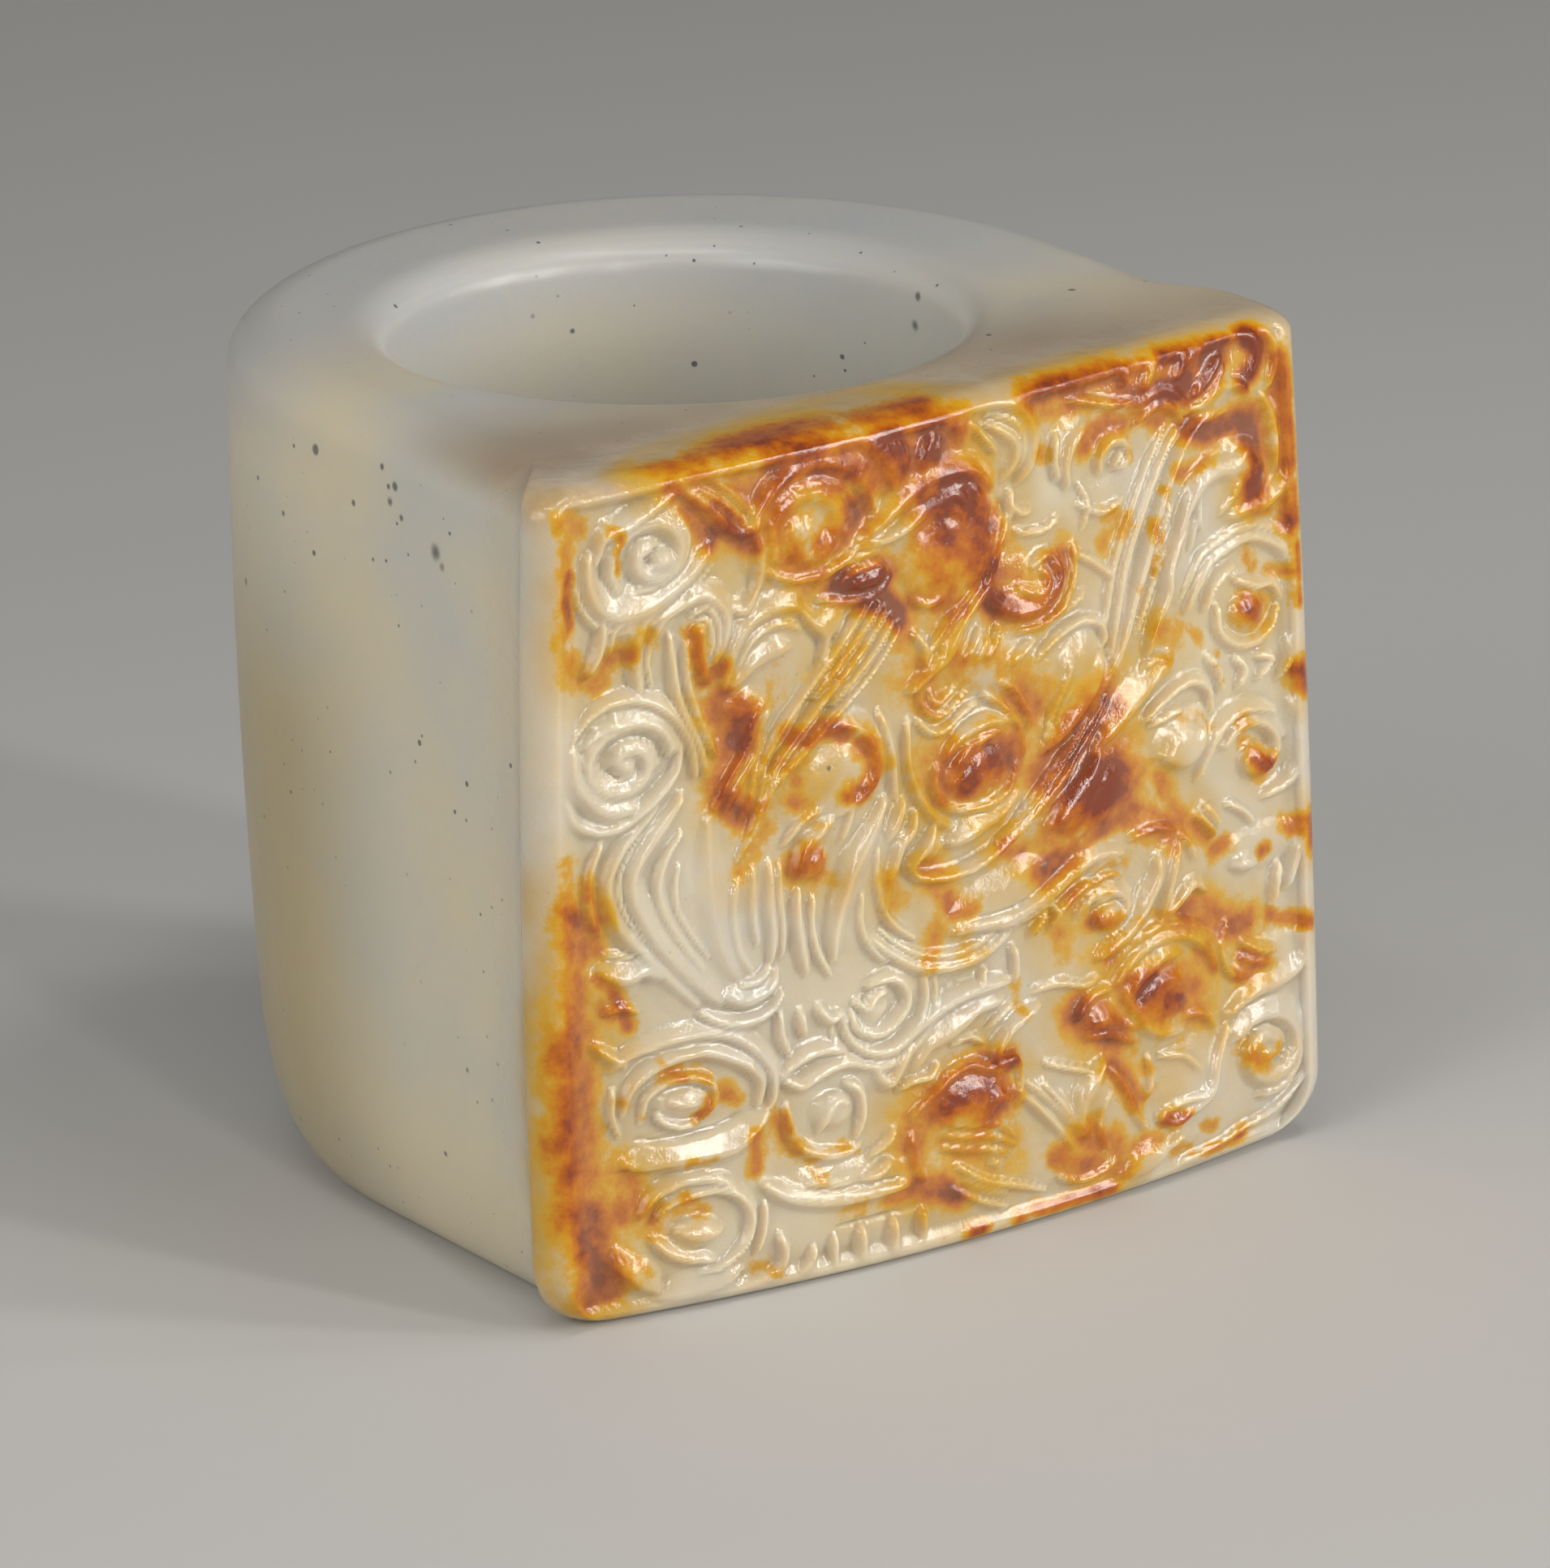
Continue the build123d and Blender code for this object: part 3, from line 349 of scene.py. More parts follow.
    Ridge(0.36, 0.52, 0, "-3.4,1.7 -3.3,0.3"),
    Ridge(0.34, 0.52, 0, "-2.1,1.7 -2,0.4"),
    Ridge(0.3, 0.5, 0, "-0.9,1.8 -0.8,0.8"),
    Ridge(0.26, 0.46, 0, "-4.5,1.6 -4.4,0.5"),
    # hand
    Ridge(0.28, 0.48, 0.3, "1.8,4.8 2.2,5.1 2.8,5"),
    Ridge(0.17, 0.42, 0, "0,4.7 1.2,4.4 2.4,4.1 3.3,3.4", -2),
    Ridge(0.2, 0.44, 0, "1.8,3.9 2.5,3.6 3.2,3.2"),
    Ridge(0.18, 0.42, 0, "2,3.4 2.9,2.9", -1),
    Ridge(0.26, 0.38, 0, "-1.2,4.6 -1.2,3.6 -0.8,2.8"),
    Ridge(0.24, 0.42, 0, "-1.2,5.2 -0.4,5.8 0.4,6.3 1.4,6.5 2.2,6.2 3.2,6.4 3.5,5.6 3.3,4.6"),
    Ridge(0.15, 0.38, 0, "0.2,5.9 1,5.3 1.9,4.9", -1),
    # water
    Ridge(0.24, 0.4, 0, "3.2,5.2 4,4.5 4.9,3.5 5.6,2.5", 1),
    Ridge(0.2, 0.38, 0, "4.4,5.2 5.2,4.2 5.8,3.2"),
    Ridge(0.18, 0.4, 0, "4.6,5.8 5.6,5.4 6.8,5"),
    Ridge(0.22, 0.38, 0, "0.6,3 1.8,2.2 3.2,1.7 4.5,1.2"),
    Ridge(0.18, 0.36, 0, "0.4,2.2 1.4,1.6 2.8,1", 1),
    Ridge(0.46, 0.5, 0.5, "7.2,5.2 6.7,4.7 6.1,4.1 5.9,3.4 6.1,2.8"),
    Ridge(0.2, 0.4, 0, "7.4,4.2 6.9,3.6 6.8,2.8 7.2,2"),
    Ridge(0.22, 0.4, 0, "5,1.6 5.8,1.2 6.8,1.2 7.6,1.6"),
    # petals
    Ridge(0.34, 0.46, 0.3, "7.9,7.9 8.5,8.5 9.3,8.9 10.3,9 11.4,8.7 12.2,8 12.5,7.2", 1),
    Ridge(0.46, 0.52, 0.7, "8.3,7.3 8.8,7.8 9.4,8.1 10,8.35 10.7,8.3"),
    Ridge(0.3, 0.46, 0.4, "8.2,7.3 8.6,6.7 9,6.1 9.8,5.6 10.8,5.5"),
    Ridge(0.28, 0.44, 0, "6,7 6.6,7.7 7.6,7.8"),
    Ridge(0.22, 0.42, 0, "6.4,6.3 7.4,6.2 8.6,5.6", 1),
    Ridge(0.24, 0.42, 0, "7.4,5 8,4.2 8.4,3.2 9,2.4"),
    Ridge(0.2, 0.38, 0, "9.2,5 9.3,4.2 9,3.4"),
    Ridge(0.16, 0.4, 0, "9.4,7.4 10,7.6 10.8,7.4"),
    # right clouds
    Ridge(0.22, 0.46, 0, "10,16.7 10.8,16.9 11.5,17"),
    Ridge(0.28, 0.42, 0.3, "9.8,16.9 10.8,17.5 11.9,17.8 12.7,17.4 12.9,16.6"),
    Ridge(0.28, 0.46, 0, "12.8,18.5 13.2,18 13.4,17.2"),
    Ridge(0.42, 0.5, 0.5, "10.5,15.4 11.3,15.1 12,15.4 12.4,16.1"),
    Ridge(0.3, 0.5, 0.5, "12.1,14.3 12.5,15 12.9,15.6 13.5,16 14.2,16.2 15.1,16.1 15.9,15.8"),
    Ridge(0.36, 0.46, 0.3, "16.6,16 17,15.2 17.1,14.3 16.8,13.6 16.2,13.1 15.3,12.9"),
    Ridge(0.28, 0.44, 0, "14.1,18.2 14.5,17.7 14.2,17.1"),
    Ridge(0.3, 0.48, 0, "15.2,18 15.8,17.8 15.2,17.2"),
    Ridge(0.28, 0.46, 0, "16.6,18.3 16.7,17.7 16.2,17"),
    Ridge(0.18, 0.46, 0, "13.4,13.1 14.1,12.7 14.7,12.1"),
    Ridge(0.36, 0.46, 0.4, "12,20.4 12.5,21.2 13,21.8 13.8,22.1 14.8,22.3 15.8,22 16.5,21.5 16.9,20.8", 1),
    Ridge(0.26, 0.48, 0.4, "12.8,20.2 13.1,20.8 13.6,21.2 14.2,21.4"),
    Ridge(0.26, 0.42, 0.3, "14.3,20.9 15.2,20.5 16,20.4 16.4,19.8"),
    Ridge(0.3, 0.44, 0.3, "13.4,20.2 13.4,19.3 14,18.7 14.9,18.5 15.8,18.8 16.3,19.5"),
    Ridge(0.46, 0.5, 0.4, "17,24.1 16.4,23.6 15.8,23.3 15.1,23.3 14.2,23.2"),
    Ridge(0.44, 0.5, 0, "13.6,10.8 14.6,10.7"),
    Ridge(0.36, 0.52, 0, "16.8,11 16.4,10.1 16.1,9.4"),
    Ridge(0.26, 0.48, 0, "15.8,10.4 15.6,9.7 15.4,8.9"),
    Ridge(0.28, 0.46, 0, "13.9,7.9 14.6,7.5 15.4,7.3", -1),
    Ridge(0.42, 0.5, 0.3, "16.6,7.7 16.8,6.9 16.3,6.3 15.4,6.05 14.6,6 13.8,5.8 13.1,5.5"),
    Ridge(0.2, 0.4, 0, "13.2,8.9 12.8,8 13.2,7 14,6.6"),
    Ridge(0.44, 0.52, 0.5, "16.4,3.8 16.2,2.9 15.5,2.3 14.6,2.1"),
    Ridge(0.36, 0.5, 0.3, "13,5.1 12.6,4.4 12.3,3.8 12.1,3.1 11.7,2.75 11,2.5 10.3,2.2 9.6,2.6"),
    Ridge(0.18, 0.46, 0, "9.6,2.7 10.4,2.9 11.4,2.95 12,2.9"),
    Ridge(0.26, 0.46, 0, "10,1.4 10.7,1.7"),
    Ridge(0.48, 0.52, 0.5, "8,0.8 8.8,0.8 9.4,1 9.9,1.3"),
    Ridge(0.28, 0.4, 0, "10.8,0.6 12.2,0.7 13.6,1 15.2,1.4 16.4,2.2 16.9,3.2"),
    Ridge(0.22, 0.38, 0, "9.8,4.8 10.8,4.6 11.6,3.9"),
    Ridge(0.22, 0.38, 0, "11,6 11.9,5.8 12.4,5.2"),
]

# the beard: strands between a left and a right rail, every other one running on to the long tips
beard = {
    "wide": 0.29, "high": 0.50, "taper": 0.5, "strands": 5, "longTip": 5, "shortTip": 3,
    "left": "-1.9,24 -3.3,22.6 -4.9,21.1 -6,19.9 -6.9,18.6",
    "right": "-0.8,22.6 -2.1,21.3 -3.4,20.3 -4.6,19.4 -6.2,18",
}

# rounded forms: centre, half sizes across the face, rise over the ground, and turn in degrees
Dome = namedtuple("Dome", "x z wide high rise tilt", defaults=[0])
bosses = [
    Dome(-10.5, 26.9, 0.5, 0.42, 0.44), Dome(-12.1, 19.9, 0.55, 0.42, 0.44),
    Dome(-4.8, 26.7, 0.6, 0.55, 0.5), Dome(-2.2, 24.55, 1.15, 0.5, 0.46, 4),
    Dome(-10.2, 7.6, 1.3, 0.6, 0.4, -8), Dome(-9.9, 2.9, 1, 0.6, 0.4), Dome(-4.4, 6.1, 0.9, 0.7, 0.4),
    Dome(-2.6, 9.3, 0.7, 0.5, 0.4, 20), Dome(14.8, 19.7, 0.9, 0.8, 0.46),
    Dome(14.9, 14.4, 0.8, 0.6, 0.42, -30), Dome(14.8, 3.6, 0.7, 0.55, 0.44),
    Dome(7.7, 10.5, 0.8, 0.5, 0.42), Dome(2, 16.8, 1.4, 1.05, 0.42), Dome(11.5, 15.7, 1.05, 0.75, 0.42),
    Dome(9.9, 7, 1.35, 1.05, 0.42, 20), Dome(-4.9, 15, 0.85, 0.65, 0.42, 25),
    Dome(-3.9, 17.9, 1.5, 1.2, 0.3), Dome(1, 24.4, 1.8, 1.7, 0.36), Dome(-7.3, 20.9, 1.1, 0.95, 0.34),
    Dome(6.9, 19.5, 1.1, 1.4, 0.36, -20), Dome(6.9, 14.7, 1.7, 1.1, 0.38, 20),
    Dome(6.6, 4.2, 0.9, 0.8, 0.38), Dome(1.2, 5.3, 1.9, 0.95, 0.38, -6),
    Dome(14.9, 24.7, 1.1, 1.2, 0.34, 30), Dome(-3.8, 23.4, 0.8, 0.7, 0.34),
    Dome(-6.8, 27.3, 0.4, 0.32, 0.4), Dome(7, 6.8, 1.05, 0.8, 0.36, -20), Dome(2.2, 28.9, 0.6, 0.75, 0.3),
    Dome(0.1, 14.5, 0.55, 0.5, 0.34, 30), Dome(-9.1, 24.1, 0.3, 0.34, 0.44),
    Dome(13.6, 27.5, 1.1, 0.5, 0.32, 15), Dome(2.9, 6.2, 0.6, 0.45, 0.36),
]

# broad masses that the ridges and bosses stand on
masses = [
    Dome(-4.7, 26.7, 2.7, 2.3, 0.3), Dome(1.5, 25.4, 2.5, 2.7, 0.34),
    Dome(-1.3, 28.6, 3.2, 1.3, 0.28, -6), Dome(-6.5, 22.5, 2.2, 2, 0.26, 20),
    Dome(-9, 23.9, 1.1, 1.7, 0.24), Dome(-9.1, 14.2, 2.9, 4.2, 0.28, 8), Dome(-3.8, 17.5, 2.3, 2.2, 0.22),
    Dome(-2.5, 14.3, 1.4, 3, 0.24, -24), Dome(2.2, 17.1, 2.2, 1.7, 0.22),
    Dome(4.9, 22.8, 1.9, 1.3, 0.16, -10), Dome(4.6, 28.1, 1.2, 1.7, 0.26, 20),
    Dome(7, 27.1, 1.1, 1.3, 0.22), Dome(2.8, 20.5, 2.9, 1.1, 0.22, -20),
    Dome(6.4, 19.6, 1.3, 1.9, 0.26, -28), Dome(7.1, 14.7, 3, 1.7, 0.3, 22),
    Dome(11.7, 15.8, 1.7, 1.2, 0.26, 10), Dome(9.8, 7, 2.8, 2, 0.26), Dome(1.2, 5, 2.7, 1.6, 0.28, -8),
    Dome(6.6, 3.1, 2.2, 2.3, 0.2), Dome(12, 28.6, 3.6, 1.3, 0.24), Dome(15.5, 28.2, 1.2, 1.8, 0.24),
    Dome(14, 24, 2.5, 1.9, 0.26, 24), Dome(11.2, 3.5, 1.9, 1.8, 0.22, 30),
    Dome(-11.3, 24.8, 1.9, 0.9, 0.22, 10), Dome(3.3, 12.2, 3, 1.1, 0.22, 14),
    Dome(-0.8, 7.6, 2.6, 1.1, 0.22, 16), Dome(15.1, 11.2, 2, 0.9, 0.22), Dome(-4, 3.5, 3.2, 0.8, 0.2, -4),
    Dome(-12.7, 12.3, 1.2, 0.9, 0.22), Dome(15, 6.9, 2, 1, 0.2, 12), Dome(9.6, 1.3, 2.2, 0.8, 0.2, 8),
    Dome(-7.7, 18.9, 1.3, 1.8, 0.22, -20), Dome(11, 11.3, 1.6, 1.4, 0.2),
]

# cuts along which dirt and painted shade lie: half width, depth, route
Cut = namedtuple("Cut", "wide deep route")
cuts = [
    Cut(0.16, 0.22, "1.2,11.7 3.3,11.7 4.9,12.2 6.6,13.1"),
    Cut(0.16, 0.2, "-12.2,6.7 -10.9,6.4 -8.9,6.5 -7.9,6.8"),
    Cut(0.14, 0.2, "-4.6,1.9 -2.7,1.9 -0.5,2"),
    Cut(0.14, 0.18, "-13.2,13.3 -12.4,13.3 -11.6,13.1"),
    Cut(0.16, 0.2, "3.2,23.3 4,25.1 3.5,26.5"),
    Cut(0.14, 0.18, "-5.8,3.6 -3.8,3.3 -1.7,3.2"),
]

# golden washes over the stone between its stains; their rise is how strong they are
washes = [
    Dome(-5.8, 22, 3, 2.6, 0.6), Dome(0.6, 23.2, 3.4, 3.4, 0.75), Dome(1.6, 19.6, 3.2, 1.8, 0.75),
    Dome(4.6, 18.8, 3, 2.2, 0.75), Dome(-3, 27, 3.6, 2.4, 0.7), Dome(8.4, 12.2, 3.8, 2.2, 0.65),
    Dome(9.6, 9, 4.2, 2.2, 0.75), Dome(0.8, 4, 2.8, 2, 0.8), Dome(2.4, 12.2, 3.2, 1.8, 0.5),
    Dome(7.6, 23.2, 2.6, 3.6, 0.5), Dome(-6.8, 18.4, 2.8, 2.4, 0.6), Dome(9.4, 4, 3.4, 2.6, 0.55),
    Dome(11.5, 28, 4.6, 1.8, 0.6), Dome(-10.2, 8, 2.6, 1.6, 0.4), Dome(14.4, 3.6, 1.8, 1.4, 0.45),
    Dome(-8.6, 27.8, 2.4, 1.8, 0.55), Dome(6, 8.6, 3, 2, 0.4), Dome(-5.2, 5, 2.4, 1.4, 0.35),
]

# Brown skin of the stone: half width, tone (0.5 ochre, 0.75 orange, 1 russet) and route.
# x past the panel's sides and z past its rim go on round the edge.
Skin = namedtuple("Skin", "wide tone route")
skins = [
    Skin(0.5, 0.64, "-14.1,29.2 -14.3,27.6 -14.3,25.9 -14.1,24.1 -13.7,23.1"),
    Skin(0.32, 1, "-14.2,27 -14.3,26.1 -14.1,25.3"),
    Skin(0.5, 0.72, "-14.4,29 -13.7,28.6"),
    Skin(0.4, 0.72, "-13.6,23.2 -12.9,23 -12.4,23.8 -11.9,23.8"),
    Skin(0.42, 0.55, "-11.1,24.4 -10.9,24"),
    Skin(0.16, 0.55, "-12.6,28.4 -12.2,28 -12.3,27.3 -12.2,26.8"),
    Skin(0.5, 0.8, "-10.2,29.4 -9.5,28.6 -8.9,27.8 -8.4,27.2"),
    Skin(0.5, 0.86, "-8.3,28.3 -7.6,27.3 -6.8,26.7"),
    Skin(0.8, 0.7, "-9.2,29.5 -7.3,29 -6.1,28"),
    Skin(1.1, 0.86, "-9.8,30.8 -6.7,30.9 -2.7,30.8 0.5,30.5"),
    Skin(1.3, 0.9, "-5.3,29.4 -2.9,29 -0.7,28.7 1.2,28.8"),
    Skin(1, 1.05, "-1.1,29.1 -0.1,28.3 1,28.5"),
    Skin(1.3, 0.72, "-6.1,27.8 -5.4,26.1 -3.8,25.7 -2.8,26.5"),
    Skin(0.7, 0.98, "-4.2,26.1 -3,26.3 -2.6,27.1"),
    Skin(0.65, 0.8, "-5.9,27.5 -5.4,26.1 -4.2,25.4"),
    Skin(1.1, 1.05, "0.4,27.1 2,26.7 2.8,25.5"),
    Skin(1.2, 1, "1.2,25.9 2.2,24.9 2.8,24.1"),
    Skin(1.1, 0.68, "0.2,25.3 1,24.1 1.4,22.9"),
    Skin(0.7, 1.1, "-3.2,24.6 -2.2,24.5 -1.5,24.5"),
    Skin(0.5, 1, "-2.2,23.8 -1.3,23.6 -0.7,22.8"),
    Skin(0.6, 0.4, "-1.7,23.2 -3.2,21.8 -4.8,20.4 -6,19.2"),
    Skin(0.6, 0.58, "-1.8,25.1 -0.4,24.3 -0.2,22.9 -0.6,21.5 0.4,20.5"),
    Skin(0.75, 0.92, "2.6,23.5 3.6,22.4 5,22 5.8,22.5 6,23.3"),
    Skin(0.7, 0.65, "4,24.7 3.8,23.7 4.6,22.9"),
    Skin(0.4, 0.8, "-9.4,24.2 -9.2,23.1 -8.8,22.3"),
    Skin(0.42, 0.92, "-8.8,22.3 -8.3,22.6"),
    Skin(0.85, 1.05, "-8.1,21.4 -7.5,20.8 -7.6,20.1"),
    Skin(0.6, 0.55, "-6.4,22.3 -6.1,21.1 -6.9,20.5"),
    Skin(0.5, 0.75, "-7.8,19.9 -8.3,18.9 -8.5,18.1"),
    Skin(0.7, 0.88, "-8.4,18.1 -7.9,17.5 -7.6,17.3"),
    Skin(0.9, 0.55, "-7.3,19.1 -6.3,18.5 -5.5,18.7"),
    Skin(0.5, 0.62, "-6.8,17.5 -6.3,16.7 -7.3,15.9 -7.6,15.4"),
    Skin(0.45, 0.78, "-5.8,19.9 -5.1,19.5 -4.2,19.7 -3.2,19.3"),
    Skin(0.5, 0.86, "-2.6,18.9 -2.2,18.1 -2.6,17.3 -3.1,17.1"),
    Skin(0.4, 0.68, "-5.5,18.5 -5.3,18.1"),
    Skin(0.42, 0.66, "-5.5,17.4 -5,17.1"),
    Skin(0.4, 0.55, "-4.8,16.5 -4.2,16.1 -4,15.5"),
    Skin(0.62, 0.9, "-5.4,15.2 -4.8,15.4 -4.5,14.8"),
    Skin(0.9, 0.58, "-0.4,20.3 0.8,19.5 2,19.1"),
    Skin(1.2, 0.66, "2,20.5 3.4,19.9 4.8,18.9"),
    Skin(0.8, 0.78, "4,19.3 4.8,18.5"),
    Skin(1.35, 0.9, "1.2,17.1 2.2,17.1 3.2,16.9"),
    Skin(0.8, 1.05, "1.6,16.6 2.6,17.3"),
    Skin(1.1, 0.6, "3.8,17.5 4.6,16.5 3.8,15.3"),
    Skin(1, 0.92, "5.2,16.1 6.4,17.1 8,18.1"),
    Skin(1.3, 0.95, "5.8,14.3 7,14.9 8.4,15.1"),
    Skin(0.8, 1.05, "6.4,15.3 7.4,15.5 8,14.9"),
    Skin(0.7, 0.9, "5.1,12.7 6.4,13.3 7.8,13.7"),
    Skin(0.9, 0.8, "7.8,14.1 9.4,13.5 11,12.7"),
    Skin(0.45, 0.72, "10.4,14.7 10.8,13.7 11.8,12.7 12.5,12.1"),
    Skin(0.4, 0.82, "12.8,11.5 13.3,11.7"),
    Skin(0.6, 0.7, "3.2,13.9 3.9,13.6"),
    Skin(0.6, 0.6, "0,13.8 0.6,12.7 1,12.3"),
    Skin(0.42, 0.74, "0.8,12.6 1,12.1 1.7,12.1"),
    Skin(0.45, 0.62, "0.1,11.8 0.2,11.2 -0.2,10.7"),
    Skin(0.45, 0.56, "1.1,11.4 1.5,10.7"),
    Skin(0.5, 0.54, "-1.7,13.7 -1.5,13.1"),
    Skin(0.6, 0.54, "5,10.6 5.5,9.8 5.7,9.2"),
    Skin(0.6, 0.62, "6.1,11.4 7.2,12 8.4,11.8"),
    Skin(0.5, 0.74, "7.2,10.3 8,10.4"),
    Skin(0.35, 0.6, "8.5,24.6 9.3,24.1 8.3,23.5"),
    Skin(0.32, 0.62, "10.5,23.7 10.8,22.9 10.3,22.2"),
    Skin(0.3, 0.6, "11,24.8 11.3,24.4"),
    Skin(0.3, 0.58, "9.3,22.5 9.7,21.7"),
    Skin(0.75, 0.9, "5.2,29.6 6.7,29.5 8.3,29.6 10,29.4"),
    Skin(0.6, 0.66, "5.8,28.9 7.5,28.7 8.9,28.4"),
    Skin(0.6, 0.84, "7.7,27.4 8.9,27.8 10.4,27.7 11.2,27.4"),
    Skin(0.62, 1.05, "9.4,28.6 10.8,28.3 12.2,28.4"),
    Skin(0.65, 0.84, "11.4,29.6 12.7,29.2 13.7,29.3"),
    Skin(0.55, 0.92, "12.4,28 13.5,28.6 14.1,29.3"),
    Skin(0.26, 0.62, "9.5,27 9.7,26.3"),
    Skin(0.3, 0.66, "5.5,27.4 5.7,27.3"),
    Skin(0.55, 1, "12.4,26.8 13.5,26.4 14.9,26.5 15.5,26"),
    Skin(0.75, 1.1, "15.3,26.2 15.5,25 15.3,24.2"),
    Skin(0.3, 0.62, "11.6,25.4 12.4,25.2 13.2,25.6"),
    Skin(0.45, 0.95, "15.1,29.7 15.8,29 15.7,28.3 15.1,27.9"),
    Skin(0.5, 0.9, "16.6,28.3 16.8,26.5 16.9,24.6 16.9,22.6"),
    Skin(0.24, 0.72, "17.1,21.6 17.1,20.6 17.1,19.6"),
    Skin(0.35, 0.66, "15.4,23.2 16.2,23"),
    Skin(0.4, 0.82, "17,17.1 17.2,16.5"),
    Skin(0.45, 0.84, "16.4,11.5 17.2,11.4 17.3,10.9"),
    Skin(0.3, 0.8, "15,11 15.2,11"),
    Skin(0.42, 0.76, "15,21.5 15.2,21.2"),
    Skin(0.26, 0.62, "15.8,20.9 16.4,20.8 17,20.6"),
    Skin(0.6, 0.92, "14.7,19.9 15.2,19.6"),
    Skin(0.42, 0.66, "14.2,15.9 14.4,15.1 14.8,14.5"),
    Skin(0.38, 0.8, "14.6,14.6 15.4,13.9"),
    Skin(0.65, 0.62, "10.7,19.9 11.5,19.9 10.9,19.1"),
    Skin(0.26, 0.66, "12.1,19.7 12.9,18.9 13.4,18.5"),
    Skin(0.24, 0.62, "13.1,18.2 13.4,17.7"),
    Skin(0.4, 0.68, "11.6,16.7 12.1,16.5 12.6,16.1"),
    Skin(0.8, 0.6, "7.8,9.2 9.6,9.7 11.6,9.5"),
    Skin(0.65, 0.78, "11.2,9.8 12.2,9.3 13.4,8.8"),
    Skin(0.65, 0.84, "13,8.7 14.2,8.5"),
    Skin(0.34, 0.84, "15.4,8.5 16.2,8.2 17,7.9"),
    Skin(0.45, 0.66, "14,7.3 14.8,7 13.6,6.7"),
    Skin(0.9, 0.88, "6.3,7.2 7.1,6.6 7.9,6"),
    Skin(1.2, 0.8, "9.1,7.2 10.3,6.8 11.1,6.4"),
    Skin(0.6, 1, "10.1,6.8 10.7,6.5"),
    Skin(0.5, 0.95, "8.9,7.2 9.4,7.7"),
    Skin(0.6, 0.62, "12,8.1 12.2,7.5"),
    Skin(0.6, 0.82, "7.5,5 8.1,4.2 8.5,3.6"),
    Skin(0.4, 0.58, "9.1,4.6 9.4,3.8"),
    Skin(1, 0.98, "0,5.5 1.3,5.7 2.5,5"),
    Skin(0.5, 0.92, "2.5,6.4 3.1,6.3"),
    Skin(0.5, 0.8, "1.3,6.4 1.9,6.5"),
    Skin(0.8, 0.66, "-1.2,4.8 -1.1,3.4 -0.7,2.6"),
    Skin(1, 0.56, "0.3,4.2 1.3,3.8 2.5,3.4"),
    Skin(0.6, 0.86, "-1.1,2.6 -0.1,2.4 0.5,1.9"),
    Skin(0.3, 0.6, "-2.3,2.4 -1.3,2.4"),
    Skin(0.6, 0.86, "4.9,2.3 5.8,1.7 6.8,1.6"),
    Skin(0.8, 0.8, "6.3,2.8 7.1,2.2 7.6,1.4"),
    Skin(0.4, 0.9, "3.4,0.3 5.4,0.4 7.4,0.3"),
    Skin(0.3, 0.74, "1.2,0.3 1.7,0.3"),
    Skin(0.4, 0.74, "10.6,1 11.2,0.8"),
    Skin(0.3, 0.68, "11.8,1.7 12.4,1.5"),
    Skin(0.34, 0.78, "11.8,0.5 13,0.5 13.8,0.7"),
    Skin(0.32, 0.88, "9.9,2.4 10.7,2.3"),
    Skin(0.42, 0.7, "8.6,1.7 9.6,1.8"),
    Skin(0.4, 0.6, "13.7,4 14.3,3.6 14.9,3.3 15.3,3.6"),
    Skin(0.3, 0.54, "3.5,8.7 3.5,8 3.8,7.6"),
    Skin(0.38, 0.68, "-6.4,6.3 -6.2,5.5 -5.9,5"),
    Skin(0.3, 0.72, "-7.5,5.8 -7.4,5.1 -7.5,4.6"),
    Skin(0.3, 0.6, "-5.7,5.1 -5.3,4.5 -5,3.9"),
    Skin(0.28, 0.6, "-4.8,4.7 -4,4.7 -3.5,4.5"),
    Skin(0.38, 0.58, "-3.8,2.6 -3.3,2.4"),
    Skin(0.42, 0.8, "-10.8,8.8 -10.3,8.5"),
    Skin(0.28, 0.62, "-11.1,9.3 -10.1,8.7 -9.3,8.3"),
    Skin(0.24, 0.7, "-12.5,8 -12.3,7.8"),
    Skin(0.34, 0.6, "-8.8,7.7 -8.1,7.3"),
    Skin(0.24, 0.74, "-9.7,7 -9.3,7.2 -9.3,7.6"),
    Skin(0.22, 0.66, "-12,7.4 -11.6,7.3"),
    Skin(0.32, 0.6, "-10.1,5.4 -9.3,5.3"),
    Skin(0.7, 0.62, "-12.4,4.2 -11.6,3.8 -11.4,3.3"),
    Skin(0.36, 0.76, "-10.3,4.1 -10,4"),
    Skin(0.3, 0.62, "-10.8,3.7 -9.6,3.6"),
    Skin(0.3, 0.6, "-12.1,2.2 -11.6,1.7"),
    Skin(0.28, 0.6, "-7.4,1.1 -7,0.9 -6.4,0.5"),
    Skin(0.38, 0.66, "-14.5,17 -14.3,16.4"),
    Skin(0.72, 0.8, "-14.5,15.5 -14.1,14.4 -14,13.4"),
    Skin(0.45, 0.98, "-14.5,15.3 -14,14.8"),
    Skin(0.45, 0.7, "-13.6,16 -13.4,14.8 -13.3,13.6"),
    Skin(0.77, 0.74, "-14.3,13 -14.2,11.8 -14.5,10.6"),
    Skin(0.28, 0.74, "-13.4,12.6 -12.8,12.1 -12.4,11.3 -12.1,10.6"),
    Skin(0.4, 0.6, "-13.2,11.6 -12.7,11.1"),
    Skin(1.08, 0.82, "-14.5,10.6 -14.3,8.6 -14.3,6.6 -14.1,4.6 -13.8,2.7 -13.6,1.3"),
    Skin(0.8, 0.8, "-14.2,9.2 -14,7.4 -13.8,5.8"),
    Skin(1.17, 0.54, "-14.5,9.4 -14.5,5.8 -14,2.3"),
    Skin(0.8, 0.64, "-13,5.6 -12.4,5 -12.6,4"),
